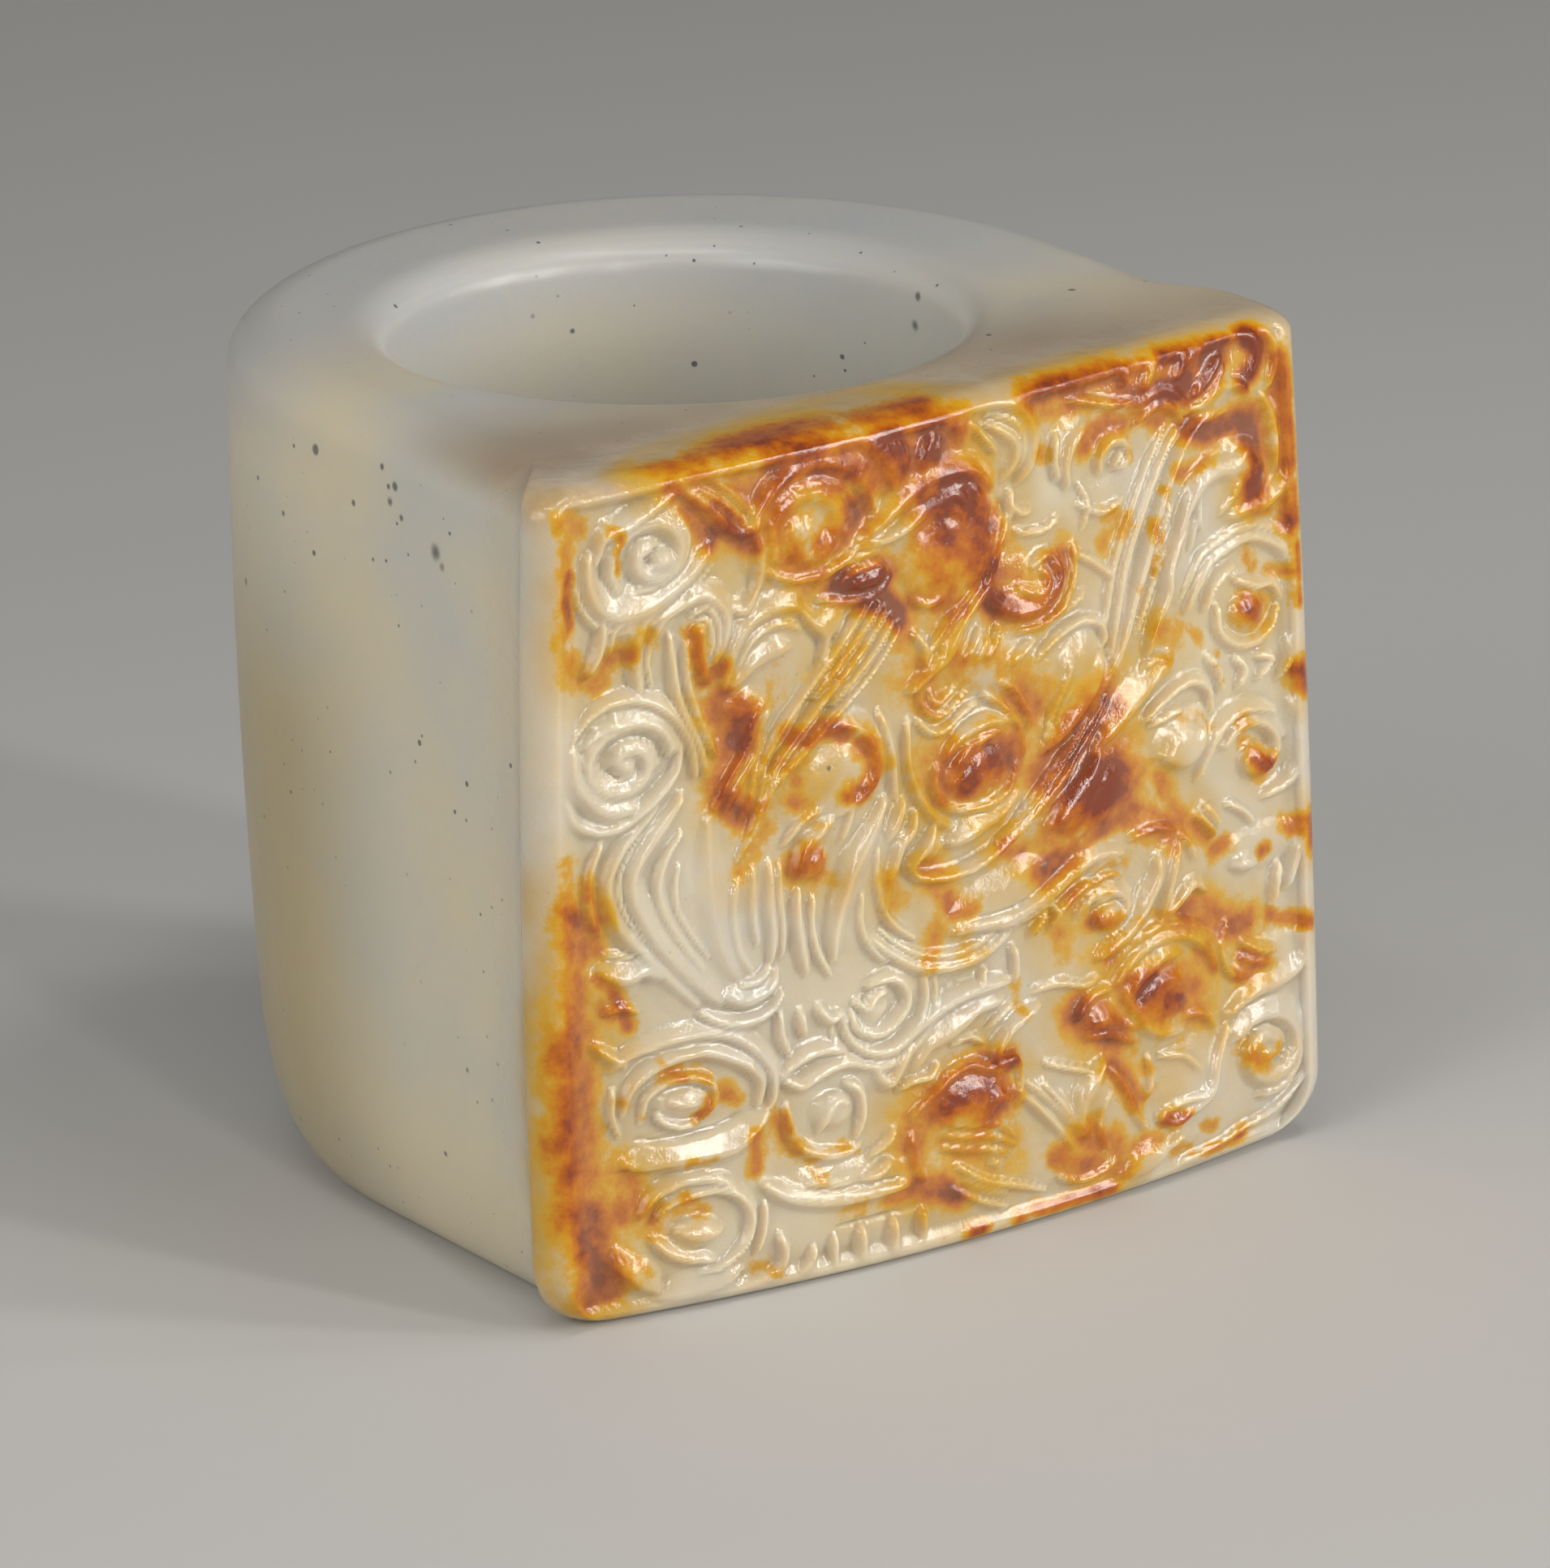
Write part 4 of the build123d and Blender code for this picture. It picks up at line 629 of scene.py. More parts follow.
    Skin(0.7, 0.94, "-14,2.9 -13.5,2 -13.1,1.2"),
]
# how the tone fades out and the golden glaze soaks on, in half widths and millimetres
staining = {"full": 0.4, "gone": 2.0, "soakWidths": 2.2, "soak": 0.9, "strongest": 1.0}


def shareAt(name, up):
    foot, waist, rim = (getattr(girth, name) for girth in girths)
    return foot * (1 - up) * (1 - 2 * up) + waist * 4 * up * (1 - up) + rim * up * (2 * up - 1)


# how far an outline draws in: a quarter ellipse at the foot and one at the rim
def drawnIn(z, footHigh, footIn, rimHigh, rimIn):
    low = np.clip(1 - z / footHigh, 0, 1)
    high = np.clip(1 - (ring["height"] - z) / rimHigh, 0, 1)
    return footIn * (1 - np.sqrt(1 - low ** 2)) + rimIn * (1 - np.sqrt(1 - high ** 2))


# rows close up where the edges turn over
def wallHeights():
    foot = [ring["footHigh"] * (1 - sin(radians(turn))) for turn in counts["footTurn"]]
    rim = [ring["height"] - ring["rimHigh"] * (1 - sin(radians(turn))) for turn in counts["rimTurn"]]
    middle = np.linspace(foot[-1], rim[0], counts["wall"] + 2)[1:-1]
    return np.concatenate([foot, middle, rim])


# the ring's outline at every height, rows x columns x (x, y), the point that the face is carved
# towards, and which columns are the face
def outlineRows(z):
    z = z[:, None]
    up = z / ring["height"]
    bore = ring["boreRadius"]
    panelRim = ring["panelRimHigh"], ring["panelRimIn"]
    bodyIn = drawnIn(z, ring["footHigh"], ring["footIn"], ring["rimHigh"], ring["rimIn"])
    sideIn = drawnIn(z, ring["panelFootHigh"], ring["panelFootSideIn"], *panelRim)
    frontIn = drawnIn(z, ring["panelFootHigh"], ring["panelFootFrontIn"], *panelRim)
    left = bodyIn - bore - ring["leftWall"] * shareAt("left", up)
    right = bore + ring["rightWall"] * shareAt("right", up) - bodyIn
    back = bore + ring["backWall"] * shareAt("back", up) - bodyIn
    radius = (right - left) / 2
    shoulder = back - radius
    middle = (left + right) / 2

    # the face: an arc through its two ends and its bowed middle
    x0 = sideIn - (bore + ring["leftWall"] + ring["lapLeft"])
    x1 = bore + ring["rightWall"] * shareAt("right", up) + ring["lapRight"] * shareAt("lap", up) - sideIn
    y0 = frontIn - bore - ring["panelWall"] * shareAt("faceLeft", up)
    y1 = frontIn - bore - ring["panelWall"] * shareAt("faceRight", up)
    xm, ym = (x0 + x1) / 2, (y0 + y1) / 2 - ring["panelBow"] * shareAt("bow", up)
    a = 2 * (xm - x0), 2 * (ym - y0), xm ** 2 - x0 ** 2 + ym ** 2 - y0 ** 2
    b = 2 * (x1 - xm), 2 * (y1 - ym), x1 ** 2 - xm ** 2 + y1 ** 2 - ym ** 2
    spread = a[0] * b[1] - a[1] * b[0]
    cx, cy = (a[2] * b[1] - a[1] * b[2]) / spread, (a[0] * b[2] - a[2] * b[0]) / spread
    faceRadius = np.hypot(x0 - cx, y0 - cy)

    # its rounded corners
    corner = ring["panelCorner"]
    reach = faceRadius - corner
    leftX, rightX = x0 + corner, x1 - corner
    leftY = cy - np.sqrt(reach ** 2 - (leftX - cx) ** 2)
    rightY = cy - np.sqrt(reach ** 2 - (rightX - cx) ** 2)
    leftTurn = np.arctan2(leftY - cy, leftX - cx)
    rightTurn = np.arctan2(rightY - cy, rightX - cx)

    columns = []

    def addArc(x, y, rad, start, end, count):
        angle = start + (end - start) * np.linspace(0, 1, count, endpoint=False)[None, :]
        columns.append(np.stack([x + rad * np.cos(angle), y + rad * np.sin(angle)], -1))

    def addLine(xa, ya, xb, yb, count):
        share = np.linspace(0, 1, count, endpoint=False)[None, :]
        columns.append(np.stack([xa + (xb - xa) * share, ya + (yb - ya) * share], -1))

    toRight, toLeft = np.zeros_like(middle), np.full_like(middle, pi)
    addArc(leftX, leftY, corner, -toLeft, leftTurn, counts["corner"])
    addArc(cx, cy, faceRadius, leftTurn, rightTurn, counts["face"])
    addArc(rightX, rightY, corner, rightTurn, toRight, counts["corner"])
    lapRight = y1 + ring["lapRightDepth"]
    addLine(x1, rightY, x1, lapRight, counts["rightLap"])
    addLine(x1, lapRight, right, lapRight + ring["lapRightSlope"], counts["rightSlope"])
    addLine(right, lapRight + ring["lapRightSlope"], right, shoulder, counts["rightSide"])
    addArc(middle, shoulder, radius, toRight, toLeft, counts["back"])
    lapLeft = y0 + ring["lapLeftDepth"]
    # a wider step takes a longer slope
    slopeLeft = np.maximum(ring["lapLeftSlope"], ring["slopeToStep"] * (left - x0))
    addLine(left, shoulder, left, lapLeft + slopeLeft, counts["leftSide"])
    addLine(left, lapLeft + slopeLeft, x0, lapLeft, counts["leftSlope"])
    addLine(x0, lapLeft, x0, leftY, counts["leftLap"])
    outline = np.concatenate([np.broadcast_to(c, (len(z), c.shape[1], 2)) for c in columns], 1).copy()

    # a hand-polished ring has no hard lines down its sides
    face = slice(counts["corner"], counts["corner"] + counts["face"])
    firstSoft = face.stop + counts["corner"] + counts["softenFrom"]
    sides = np.arange(firstSoft, outline.shape[1] - counts["softenFrom"])
    for _ in range(counts["softenings"]):
        outline[:, sides] = (outline[:, sides - 1] + 2 * outline[:, sides] + outline[:, sides + 1]) / 4
    return outline, np.stack(np.broadcast_arrays(cx, cy), -1), face


# a route's "x,z x,z ..." as rows of an array
def pointsOf(route):
    return np.array([point.split(",") for point in route.split()], float)


# a Catmull-Rom curve through the points
def smoothRoute(points, steps=7):
    ends = np.concatenate([points[:1], points, points[-1:]])
    if len(points) == 2:
        return np.linspace(points[0], points[1], steps)
    curve = []
    for k in range(1, len(ends) - 2):
        p0, p1, p2, p3 = ends[k - 1:k + 3]
        for t in np.linspace(0, 1, steps, endpoint=False):
            curve.append(0.5 * (2 * p1 + (p2 - p0) * t + (2 * p0 - 5 * p1 + 4 * p2 - p3) * t ** 2
                                + (3 * p1 - p0 - 3 * p2 + p3) * t ** 3))
    curve.append(points[-1])
    return np.array(curve)


# for each place near a route: its index, distance to it, share of the way along it, and how
# squarely it lies on the side towards the light (1 straight that way, -1 straight away)
def nearRoute(x, z, route, reach):
    low, high = route.min(0) - reach, route.max(0) + reach
    near = np.flatnonzero((x > low[0]) & (x < high[0]) & (z > low[1]) & (z < high[1]))
    places = np.stack([x[near], z[near]], -1)[:, None, :]
    start, run = route[:-1][None], (route[1:] - route[:-1])[None]
    along = np.clip(((places - start) * run).sum(-1) / (run ** 2).sum(-1), 0, 1)
    gap = places - (start + along[..., None] * run)
    distance = np.hypot(gap[..., 0], gap[..., 1])
    best = distance.argmin(1)
    rows = np.arange(len(near))
    runX, runZ = run[0, best].T
    side = runX * gap[rows, best, 1] - runZ * gap[rows, best, 0]
    lightX, lightZ = carving["light"]
    facing = (lightZ * runX - lightX * runZ) / np.hypot(runX, runZ)
    share = (best + along[rows, best]) / len(run[0])
    return near, distance[rows, best], share, facing * np.where(side >= 0, 1, -1)


def scrollRoute(scroll):
    turn = np.linspace(0, 1, int(carving["scrollPoints"] * scroll.turns) + 2)
    angle = np.radians(scroll.start) + scroll.hand * 2 * pi * scroll.turns * turn
    reach = scroll.reach + (scroll.eye - scroll.reach) * turn
    return np.stack([scroll.x + reach * np.cos(angle), scroll.z + scroll.flat * reach * np.sin(angle)], -1)


# the route moved over to its left by gap
def besideRoute(route, gap):
    along = np.gradient(route, axis=0)
    along /= np.maximum(np.linalg.norm(along, axis=1, keepdims=True), 1e-6)
    return route + gap * np.stack([-along[:, 1], along[:, 0]], -1)


# every ridge of the carving: route, half width, height, lean and taper
def strokesOf():
    for scroll in scrolls:
        yield scrollRoute(scroll), scroll.wide, scroll.high, carving["scrollLean"], carving["scrollTaper"]
    for ridge in ridges:
        route = smoothRoute(pointsOf(ridge.route))
        yield route, ridge.wide, ridge.high, ridge.lean, carving["ridgeTaper"]
        for echo in range(1, abs(ridge.echoes) + 1):
            beside = besideRoute(route[1:-1], carving["echoGap"] * echo * np.sign(ridge.echoes))
            yield beside, carving["echoWide"], carving["echoHigh"] * ridge.high, 0, carving["echoTaper"]
    left, right = pointsOf(beard["left"]), pointsOf(beard["right"])
    for k in range(beard["strands"]):
        rail = left + (right - left) * k / (beard["strands"] - 1)
        strand = rail[:beard["shortTip" if k % 2 else "longTip"]]
        yield smoothRoute(strand), beard["wide"], beard["high"], 0, beard["taper"]


# height of the ridges over the ground
def strokesOver(x, z):
    height = np.zeros_like(x)
    for route, wide, high, lean, taper in strokesOf():
        near, offset, share, facing = nearRoute(x, z, route, wide * (1 + carving["slope"] * lean))
        thin = 1 - taper * np.abs(2 * share - 1) ** 3
        towardsLight, away = np.clip(facing, 0, 1), np.clip(facing, -1, 0)
        leaning = carving["slope"] * lean * towardsLight + carving["steepness"] * lean * away
        reach = wide * thin * (1 + leaning)
        across = np.clip(offset / np.maximum(reach, carving["least"]), 0, 1)
        crest = high * (carving["endHigh"] + (1 - carving["endHigh"]) * thin)
        ridge = crest * (1 - across) ** carving["scoop"] * (1 + carving["crown"] * across)
        height[near] = np.maximum(height[near], ridge)
    return height


# height of rounded forms; a fullness under 1 gives them fuller edges
def domesOver(x, z, domes, fullness=1.0):
    height = np.zeros_like(x)
    for dome in domes:
        turn = radians(dome.tilt)
        dx, dz = x - dome.x, z - dome.z
        along, across = dx * cos(turn) + dz * sin(turn), dz * cos(turn) - dx * sin(turn)
        q = (along / dome.wide) ** 2 + (across / dome.high) ** 2
        np.maximum(height, dome.rise * np.clip(1 - q, 0, 1) ** fullness, out=height)
    return height


# soft seeded waves about size mm long, mostly from -1 to 1
def wavering(x, z, size, seed):
    pick = np.random.default_rng(seed)
    total = np.zeros_like(x)
    draws = [pick.uniform(low, high, carving["waves"]) for low, high in ((0, pi), (0, 2 * pi), (0.7, 1.4))]
    for heading, start, stretched in zip(*draws):
        total += np.sin(2 * pi * (x * cos(heading) + z * sin(heading)) / (size * stretched) + start)
    return total / 4


# how far the carved face lies behind the panel's own face
def carvedDepth(x, z):
    rolling = carving["waver"] * (1 + wavering(x, z, carving["waverLong"], 1))
    rolling += carving["waverShortShare"] * carving["waver"] * wavering(x, z, carving["waverShort"], 2)
    ground = domesOver(x, z, masses, carving["massEdge"]) + rolling
    depth = np.full_like(x, carving["groundDepth"])
    # each layer takes up a share of what is left below the face
    for height in (ground, domesOver(x, z, bosses), strokesOver(x, z)):
        depth *= 1 - np.clip(height / carving["groundDepth"], 0, carving["deepest"])
    for cut in cuts:
        near, offset, share, _ = nearRoute(x, z, smoothRoute(pointsOf(cut.route)), cut.wide)
        depth[near] += cut.deep * (1 - np.abs(2 * share - 1) ** 3) * np.clip(1 - offset / cut.wide, 0, 1)
    inField = np.ones_like(x)
    for edge, fade in ((x - carving["fieldLeft"], "leftFade"), (carving["fieldRight"] - x, "rightFade"),
                       (z - carving["fieldFoot"], "footFade"), (carving["fieldTop"] - z, "topFade")):
        share = np.clip(edge / carving[fade], 0, 1)
        inField = np.minimum(inField, share * share * (3 - 2 * share))
    return depth * inField


# how strongly the stone's brown skin shows, before the material cuts its ragged edge, and the
# golden glaze that soaks out round it
def skinTone(x, z):
    tone, glaze = np.zeros_like(x), domesOver(x, z, washes)
    for skin in skins:
        soakReach = staining["soak"] + staining["soakWidths"] * skin.wide
        near, offset, _, _ = nearRoute(x, z, smoothRoute(pointsOf(skin.route)), soakReach)
        fade = (staining["gone"] - offset / skin.wide) / (staining["gone"] - staining["full"])
        tone[near] = np.maximum(tone[near], skin.tone * np.clip(fade, 0, 1))
        soaked = np.clip(1 - offset / soakReach, 0, 1)
        soaked *= min(skin.wide, staining["strongest"]) * (2 - soaked)
        glaze[near] = np.maximum(glaze[near], soaked)
    return tone, glaze


def circleRow(turn, radius, z):
    return np.stack([radius * np.cos(turn), radius * np.sin(turn), np.zeros_like(turn) + z], -1)


def spacing(grid, axis):
    return np.hypot(*np.moveaxis(np.diff(grid, axis=axis), -1, 0))


print("carving the ring")
heights = wallHeights()
outline, inward, face = outlineRows(heights)
rowCount, columnCount = outline.shape[:2]

# unrolled places: x goes on round the panel's corners, z goes on over its rim
way = np.concatenate([np.zeros((rowCount, 1)), np.cumsum(spacing(outline, 1), 1)], 1)
leftEnd, rightEnd = slice(face.start, face.start + 1), slice(face.stop - 1, face.stop)
pastRight = way - way[:, rightEnd]
pastLeft = way - way[:, leftEnd] - np.where(pastRight > ring["seam"], way[:, -1:], 0)
onRight = (pastRight > 0) & (pastRight <= ring["seam"])
unrolledX = np.where(onRight, outline[:, rightEnd, 0] + pastRight, outline[:, leftEnd, 0] + pastLeft)
unrolledX[:, face] = outline[:, face, 0]
climb = np.cumsum(np.hypot(np.diff(heights)[:, None], spacing(outline, 0)), 0)
unrolledZ = np.concatenate([np.zeros((1, columnCount)), climb], 0)
waist = rowCount // 2
unrolledZ += heights[waist] - unrolledZ[waist:waist + 1]

depth = np.zeros((rowCount, columnCount))
faceX, faceZ = outline[:, face, 0], np.broadcast_to(heights[:, None], outline[:, face, 0].shape)
depth[:, face] = carvedDepth(faceX.ravel(), faceZ.ravel()).reshape(faceX.shape)
towards = inward - outline
outline = outline + depth[..., None] * towards / np.linalg.norm(towards, axis=-1, keepdims=True)

# the loop of rows goes up the wall, over the rim, down the bore and back under the foot
angle = np.arctan2(outline[-1, :, 1], outline[-1, :, 0])
angleFoot = np.arctan2(outline[0, :, 1], outline[0, :, 0])
lip, bore, height = ring["lip"], ring["boreRadius"], ring["height"]
wornX, wornY = ring["wornTowards"]
worn = (1 + wornX * np.cos(angle) + wornY * np.sin(angle)) / 2
lipWide, lipDeep = lip + ring["wornWider"] * worn, lip + ring["wornDeeper"] * worn
rows = [np.concatenate([outline[k], np.full((columnCount, 1), heights[k])], 1) for k in range(rowCount)]
zones = list(unrolledZ)
rimEdge, lipTop = rows[-1], circleRow(angle, bore + lipWide, height)
for share in np.linspace(0, 1, counts["rim"])[1:]:
    rows.append(rimEdge + (lipTop - rimEdge) * share)
    zones.append(zones[rowCount - 1] + share * np.linalg.norm(lipTop - rimEdge, axis=1))
for turn in np.linspace(0, pi / 2, counts["topLip"])[1:]:
    rows.append(circleRow(angle, bore + lipWide * (1 - sin(turn)), height - lipDeep * (1 - cos(turn))))
for share in np.linspace(0, 1, counts["bore"])[1:]:
    turned = angle + (np.unwrap(angleFoot - angle)) * share
    rows.append(circleRow(turned, bore, (height - lipDeep) * (1 - share) + lip * share))
for turn in np.linspace(0, pi / 2, counts["lowLip"])[1:]:
    rows.append(circleRow(angleFoot, bore + lip * (1 - cos(turn)), lip * (1 - sin(turn))))
footEdge, lipFoot = rows[0], rows[-1]
for share in np.linspace(0, 1, counts["foot"])[1:-1]:
    rows.append(lipFoot + (footEdge - lipFoot) * share)
zones += [np.full(columnCount, ring["unstained"])] * (len(rows) - len(zones))

points = np.concatenate(rows) * mm
row, column = np.meshgrid(np.arange(len(rows)), np.arange(columnCount), indexing="ij")
here, above = row * columnCount, (row + 1) % len(rows) * columnCount
nextColumn = (column + 1) % columnCount
quads = np.stack([here + column, here + nextColumn, above + nextColumn, above + column], -1).reshape(-1, 4)
ringMesh = bpy.data.meshes.new("carvedRing")
ringMesh.from_pydata(points.tolist(), [], quads.tolist())
ringMesh.polygons.foreach_set("use_smooth", [True] * len(quads))

# what the material reads: the skin, its glaze, the hollows, and grooves told from crests by the
# mean depth about each place
around = depth.copy()
for _ in range(counts["grooveBlur"]):
    around[1:-1, 1:-1] = (around[:-2, 1:-1] + around[2:, 1:-1] + around[1:-1, :-2] + around[1:-1, 2:]) / 4
wayRound = np.concatenate([unrolledX] + [unrolledX[-1:]] * (len(rows) - rowCount)).ravel()
skinLayer, glazeLayer = skinTone(wayRound, np.concatenate(zones))
plain = np.zeros(len(points) - depth.size)
layers = {
    "skin": skinLayer, "glaze": glazeLayer,
    "hollow": np.concatenate([(depth / carving["groundDepth"]).ravel(), plain]),
    "groove": np.concatenate([((depth - around) / carving["groundDepth"]).ravel(), plain]),
}
for name, values in layers.items():
    ringMesh.attributes.new(name, "FLOAT", "POINT").data.foreach_set("value", values)
ringMesh.update()

carvedRing = bpy.data.objects.new("carvedRing", ringMesh)
bpy.context.scene.collection.objects.link(carvedRing)
print("ring:", len(points), "points,", 2 * len(quads), "triangles")

# Jade: pale grey-green stone, brown skin in ragged patches, dirt and painted shade in the cuts and hollows,
# painted shade on the near and far rims, painted light on the bore wall, soft polish.
# Zones run from where a tint is absent to where it is full, along axes through the bore.
Noise = namedtuple("Noise", "scale detail rough offset", defaults=[(0, 0, 0)])
jade = {
    # among the tints below are painted shade for the near rim, the far rim and the hollows, painted light for
    # the bore wall, and dirt mixed with painted shade for the grooves
    "pale": (0.62, 0.55, 0.40), "cool": (0.52, 0.51, 0.46), "green": (0.38, 0.30, 0.15),
    "amber": (0.31, 0.22, 0.13), "lit": (0.63, 0.62, 0.57), "far": (0.45, 0.46, 0.47),
    "warm": (0.61, 0.51, 0.37), "soaked": (0.53, 0.33, 0.06), "deep": (0.60, 0.50, 0.32),
    "dirt": (0.62, 0.48, 0.30), "speck": (0.045, 0.055, 0.07),
    "greenSide": {"x": (-8, -14.5), "y": (-6, 3), "z": (27, 16)},
    "nearRim": {"y": (-3, -12), "z": (28.5, 29.9)}, "farRim": {"y": (-2, 7), "z": (26.5, 29)},
    "panel": {"y": (-9.5, -13.5)}, "boreWall": (10.7, 10.1),
    "cloud": Noise(90, 3, 0.5), "fineCloud": Noise(420, 4, 0.6, (0.3, 0.1, 0.2)),
    "ragged": Noise(1050, 5, 0.66, (0.7, 0.2, 0.5)), "blotch": Noise(330, 3, 0.5, (0.1, 0.9, 0.4)),
    "speckCloud": Noise(130, 2, 0.5, (0.5, 0.5, 0)), "tooling": Noise(1100, 5, 0.62, (0.2, 0.6, 0.8)),
    # the skin's tints by tone: glaze, ochre, orange, russet, plum
    "skinTints": [(0.22, (0.58, 0.37, 0.05)), (0.54, (0.56, 0.28, 0.006)), (0.73, (0.49, 0.145, 0.001)),
                  (0.90, (0.34, 0.070, 0.003)), (1.00, (0.20, 0.036, 0.010))],
    "ior": 1.44, "subsurfaceRadius": (1.0, 0.66, 0.34), "subsurfaceScale": 0.0008,
    "coatRoughness": 0.08, "toolingDeep": 0.0002,
    # how strong a tint is at most; for a pattern, where it starts and is full, its least and most
    "greenMost": 0.75, "litMost": 0.45, "farMost": 0.7, "dirtMost": 0.5,
    "coolCloud": (0.35, 0.65), "amberCloud": (0.3, 0.7, 0.55, 1.0), "warmCloud": (0.3, 0.8, 0.25, 0.8),
    "edgeBlotch": 1.5, "edgeRagged": 1.7, "skinEdge": (0.18, 0.54), "skinStart": (0.02, 0.14),
    "tintBlotch": 1.0, "tintRagged": 0.9, "tintScale": 0.96,
    "soakGlaze": (0.0, 0.75), "soakBlotch": (-0.14, 0.12, 0.50, 1.0),
    "hollows": (0.15, 0.85), "deepMost": 0.3, "deepLostToSkin": -0.2,
    "grooves": (0.10, 0.45), "dirtBlotch": (-0.10, 0.12, 0.25, 0.9),
    "coarseSpecks": (700, 0.11, 0.8), "fineSpecks": (1500, 0.15, 0.6, (0.4, 0, 0.1)),
    "speckCore": 0.4, "speckPatches": (0.38, 0.52), "speckMost": 0.85, "speckHiddenBySkin": 0.8,
    "grainRagged": 0.6, "grainMost": 0.9, "cloudedPolish": (0.2, 0.8, 0.09, 0.15),
    "clear": 0.85, "clearLostToSkin": -0.65,
    # on the wall and the rim, and on the panel
    "speckShare": (1.0, 0.25), "satin": (0.20, 0.0), "coat": (0.04, 0.30), "tooled": (0.10, 0.34),
}

# the grains that stand out: place, half width, and how far in it is solid
Grain = namedtuple("Grain", "x y z wide core")
grains = [
    Grain(-15, -7.8, 26.3, 0.42, 0.1), Grain(-14.9, -8.2, 25.9, 0.26, 0.1),
    Grain(-14.9, -5.3, 28, 0.22, 0.4), Grain(-15, -5.7, 27, 0.2, 0.3), Grain(-14.9, -4.5, 28.5, 0.16, 0.4),
    Grain(-15, -5, 27.4, 0.24, 0.2), Grain(-14.9, -4.9, 27.9, 0.13, 0.5), Grain(-15, -2.7, 26.8, 0.17, 0.4),
    Grain(-14.9, -0.3, 28.1, 0.26, 0.5), Grain(-15, -3.9, 25.1, 0.11, 0.4),
    Grain(-15.1, -6.6, 19.3, 0.14, 0.6), Grain(-15.1, -9.5, 18.6, 0.13, 0.6),
    Grain(-15.1, -12.3, 20, 0.12, 0.6), Grain(-14.8, -6.9, 4.5, 0.16, 0.3),
    Grain(-14.9, 1.9, 25.3, 0.15, 0.4), Grain(-14.3, 5.6, 21.8, 0.18, 0.4),
    Grain(-15.1, -8.7, 17.4, 0.1, 0.6), Grain(6.1, 7.9, 25.3, 0.14, 0.5), Grain(10, -0.5, 29, 0.24, 0.3),
    Grain(10, -0.3, 27.9, 0.3, 0.1), Grain(9.4, 3.4, 26, 0.13, 0.5), Grain(12.7, -6, 30, 0.2, 0.2),
    Grain(-10.4, -14.4, 10.1, 0.3, 0.1), Grain(-4.1, -14.9, 18.3, 0.14, 0.3),
]


def makeMaterial(name):
    material = bpy.data.materials.new(name)
    material.use_nodes = True
    tree = material.node_tree
    tree.nodes.clear()
    output = tree.nodes.new("ShaderNodeOutputMaterial")
    shader = tree.nodes.new("ShaderNodeBsdfPrincipled")
    tree.links.new(shader.outputs["BSDF"], output.inputs["Surface"])
    return material, tree, shader


def feed(tree, socket, value):
    if isinstance(value, bpy.types.NodeSocket):
        tree.links.new(value, socket)
    elif socket.type == "RGBA":
        socket.default_value = (*value, 1.0)
    else:
        socket.default_value = value


def calc(tree, operation, *values):
    node = tree.nodes.new("ShaderNodeMath")
    node.operation = operation
    for socket, value in zip(node.inputs, values):
        feed(tree, socket, value)
    return node.outputs[0]


def times(tree, product, *others):
    for other in others:
        product = calc(tree, "MULTIPLY", product, other)
    return product


def stretch(tree, value, low, high, toLow=0.0, toHigh=1.0):
    node = tree.nodes.new("ShaderNodeMapRange")
    node.interpolation_type = "SMOOTHSTEP"
    for socket, entry in zip(node.inputs, (value, low, high, toLow, toHigh)):
        feed(tree, socket, entry)
    return node.outputs[0]


def zoneOf(tree, place, zone):
    return times(tree, *(stretch(tree, place[axis], absent * mm, full * mm)
                         for axis, (absent, full) in zone.items()))


def shifted(tree, coords, offset):
    node = tree.nodes.new("ShaderNodeMapping")
    node.inputs["Location"].default_value = offset
    tree.links.new(coords, node.inputs["Vector"])
    return node.outputs[0]


def noiseOf(tree, coords, noise):
    node = tree.nodes.new("ShaderNodeTexNoise")
    node.inputs["Scale"].default_value = noise.scale
    node.inputs["Detail"].default_value = noise.detail
    node.inputs["Roughness"].default_value = noise.rough
    tree.links.new(shifted(tree, coords, noise.offset), node.inputs["Vector"])
    return node.outputs["Fac"]


def blendColour(tree, share, first, second, kind="MIX"):
    node = tree.nodes.new("ShaderNodeMix")
    node.data_type = "RGBA"
    node.blend_type = kind
    feed(tree, node.inputs["Factor"], share)
    feed(tree, node.inputs[6], first)  # the colour sockets have numbers alone
    feed(tree, node.inputs[7], second)
    return node.outputs[2]


def attributeOf(tree, name):
    node = tree.nodes.new("ShaderNodeAttribute")
    node.attribute_name = name
    return node.outputs["Fac"]


# small dark grains: one in some of the cells
def specksOf(tree, coords, scale, size, density, offset=(0, 0, 0)):
    cells = tree.nodes.new("ShaderNodeTexVoronoi")
    cells.inputs["Scale"].default_value = scale
    tree.links.new(shifted(tree, coords, offset), cells.inputs["Vector"])
    pick = tree.nodes.new("ShaderNodeSeparateColor")
    tree.links.new(cells.outputs["Color"], pick.inputs[0])
    size = times(tree, pick.outputs[1], size)
    dot = stretch(tree, cells.outputs["Distance"], size, times(tree, size, jade["speckCore"]))
    return times(tree, dot, calc(tree, "LESS_THAN", pick.outputs[0], density))


print("jade")
jadeStone, tree, shader = makeMaterial("jadeStone")
coords = tree.nodes.new("ShaderNodeTexCoord").outputs["Object"]
split = tree.nodes.new("ShaderNodeSeparateXYZ")
tree.links.new(coords, split.inputs[0])
place = dict(zip("xyz", split.outputs))
cloud, fineCloud, ragged, blotch, speckCloud, tooling = (
    noiseOf(tree, coords, jade[name])
    for name in ("cloud", "fineCloud", "ragged", "blotch", "speckCloud", "tooling"))
ragged, blotch = calc(tree, "SUBTRACT", ragged, 0.5), calc(tree, "SUBTRACT", blotch, 0.5)
charted, glaze, hollow, groove = (attributeOf(tree, name) for name in ("skin", "glaze", "hollow", "groove"))

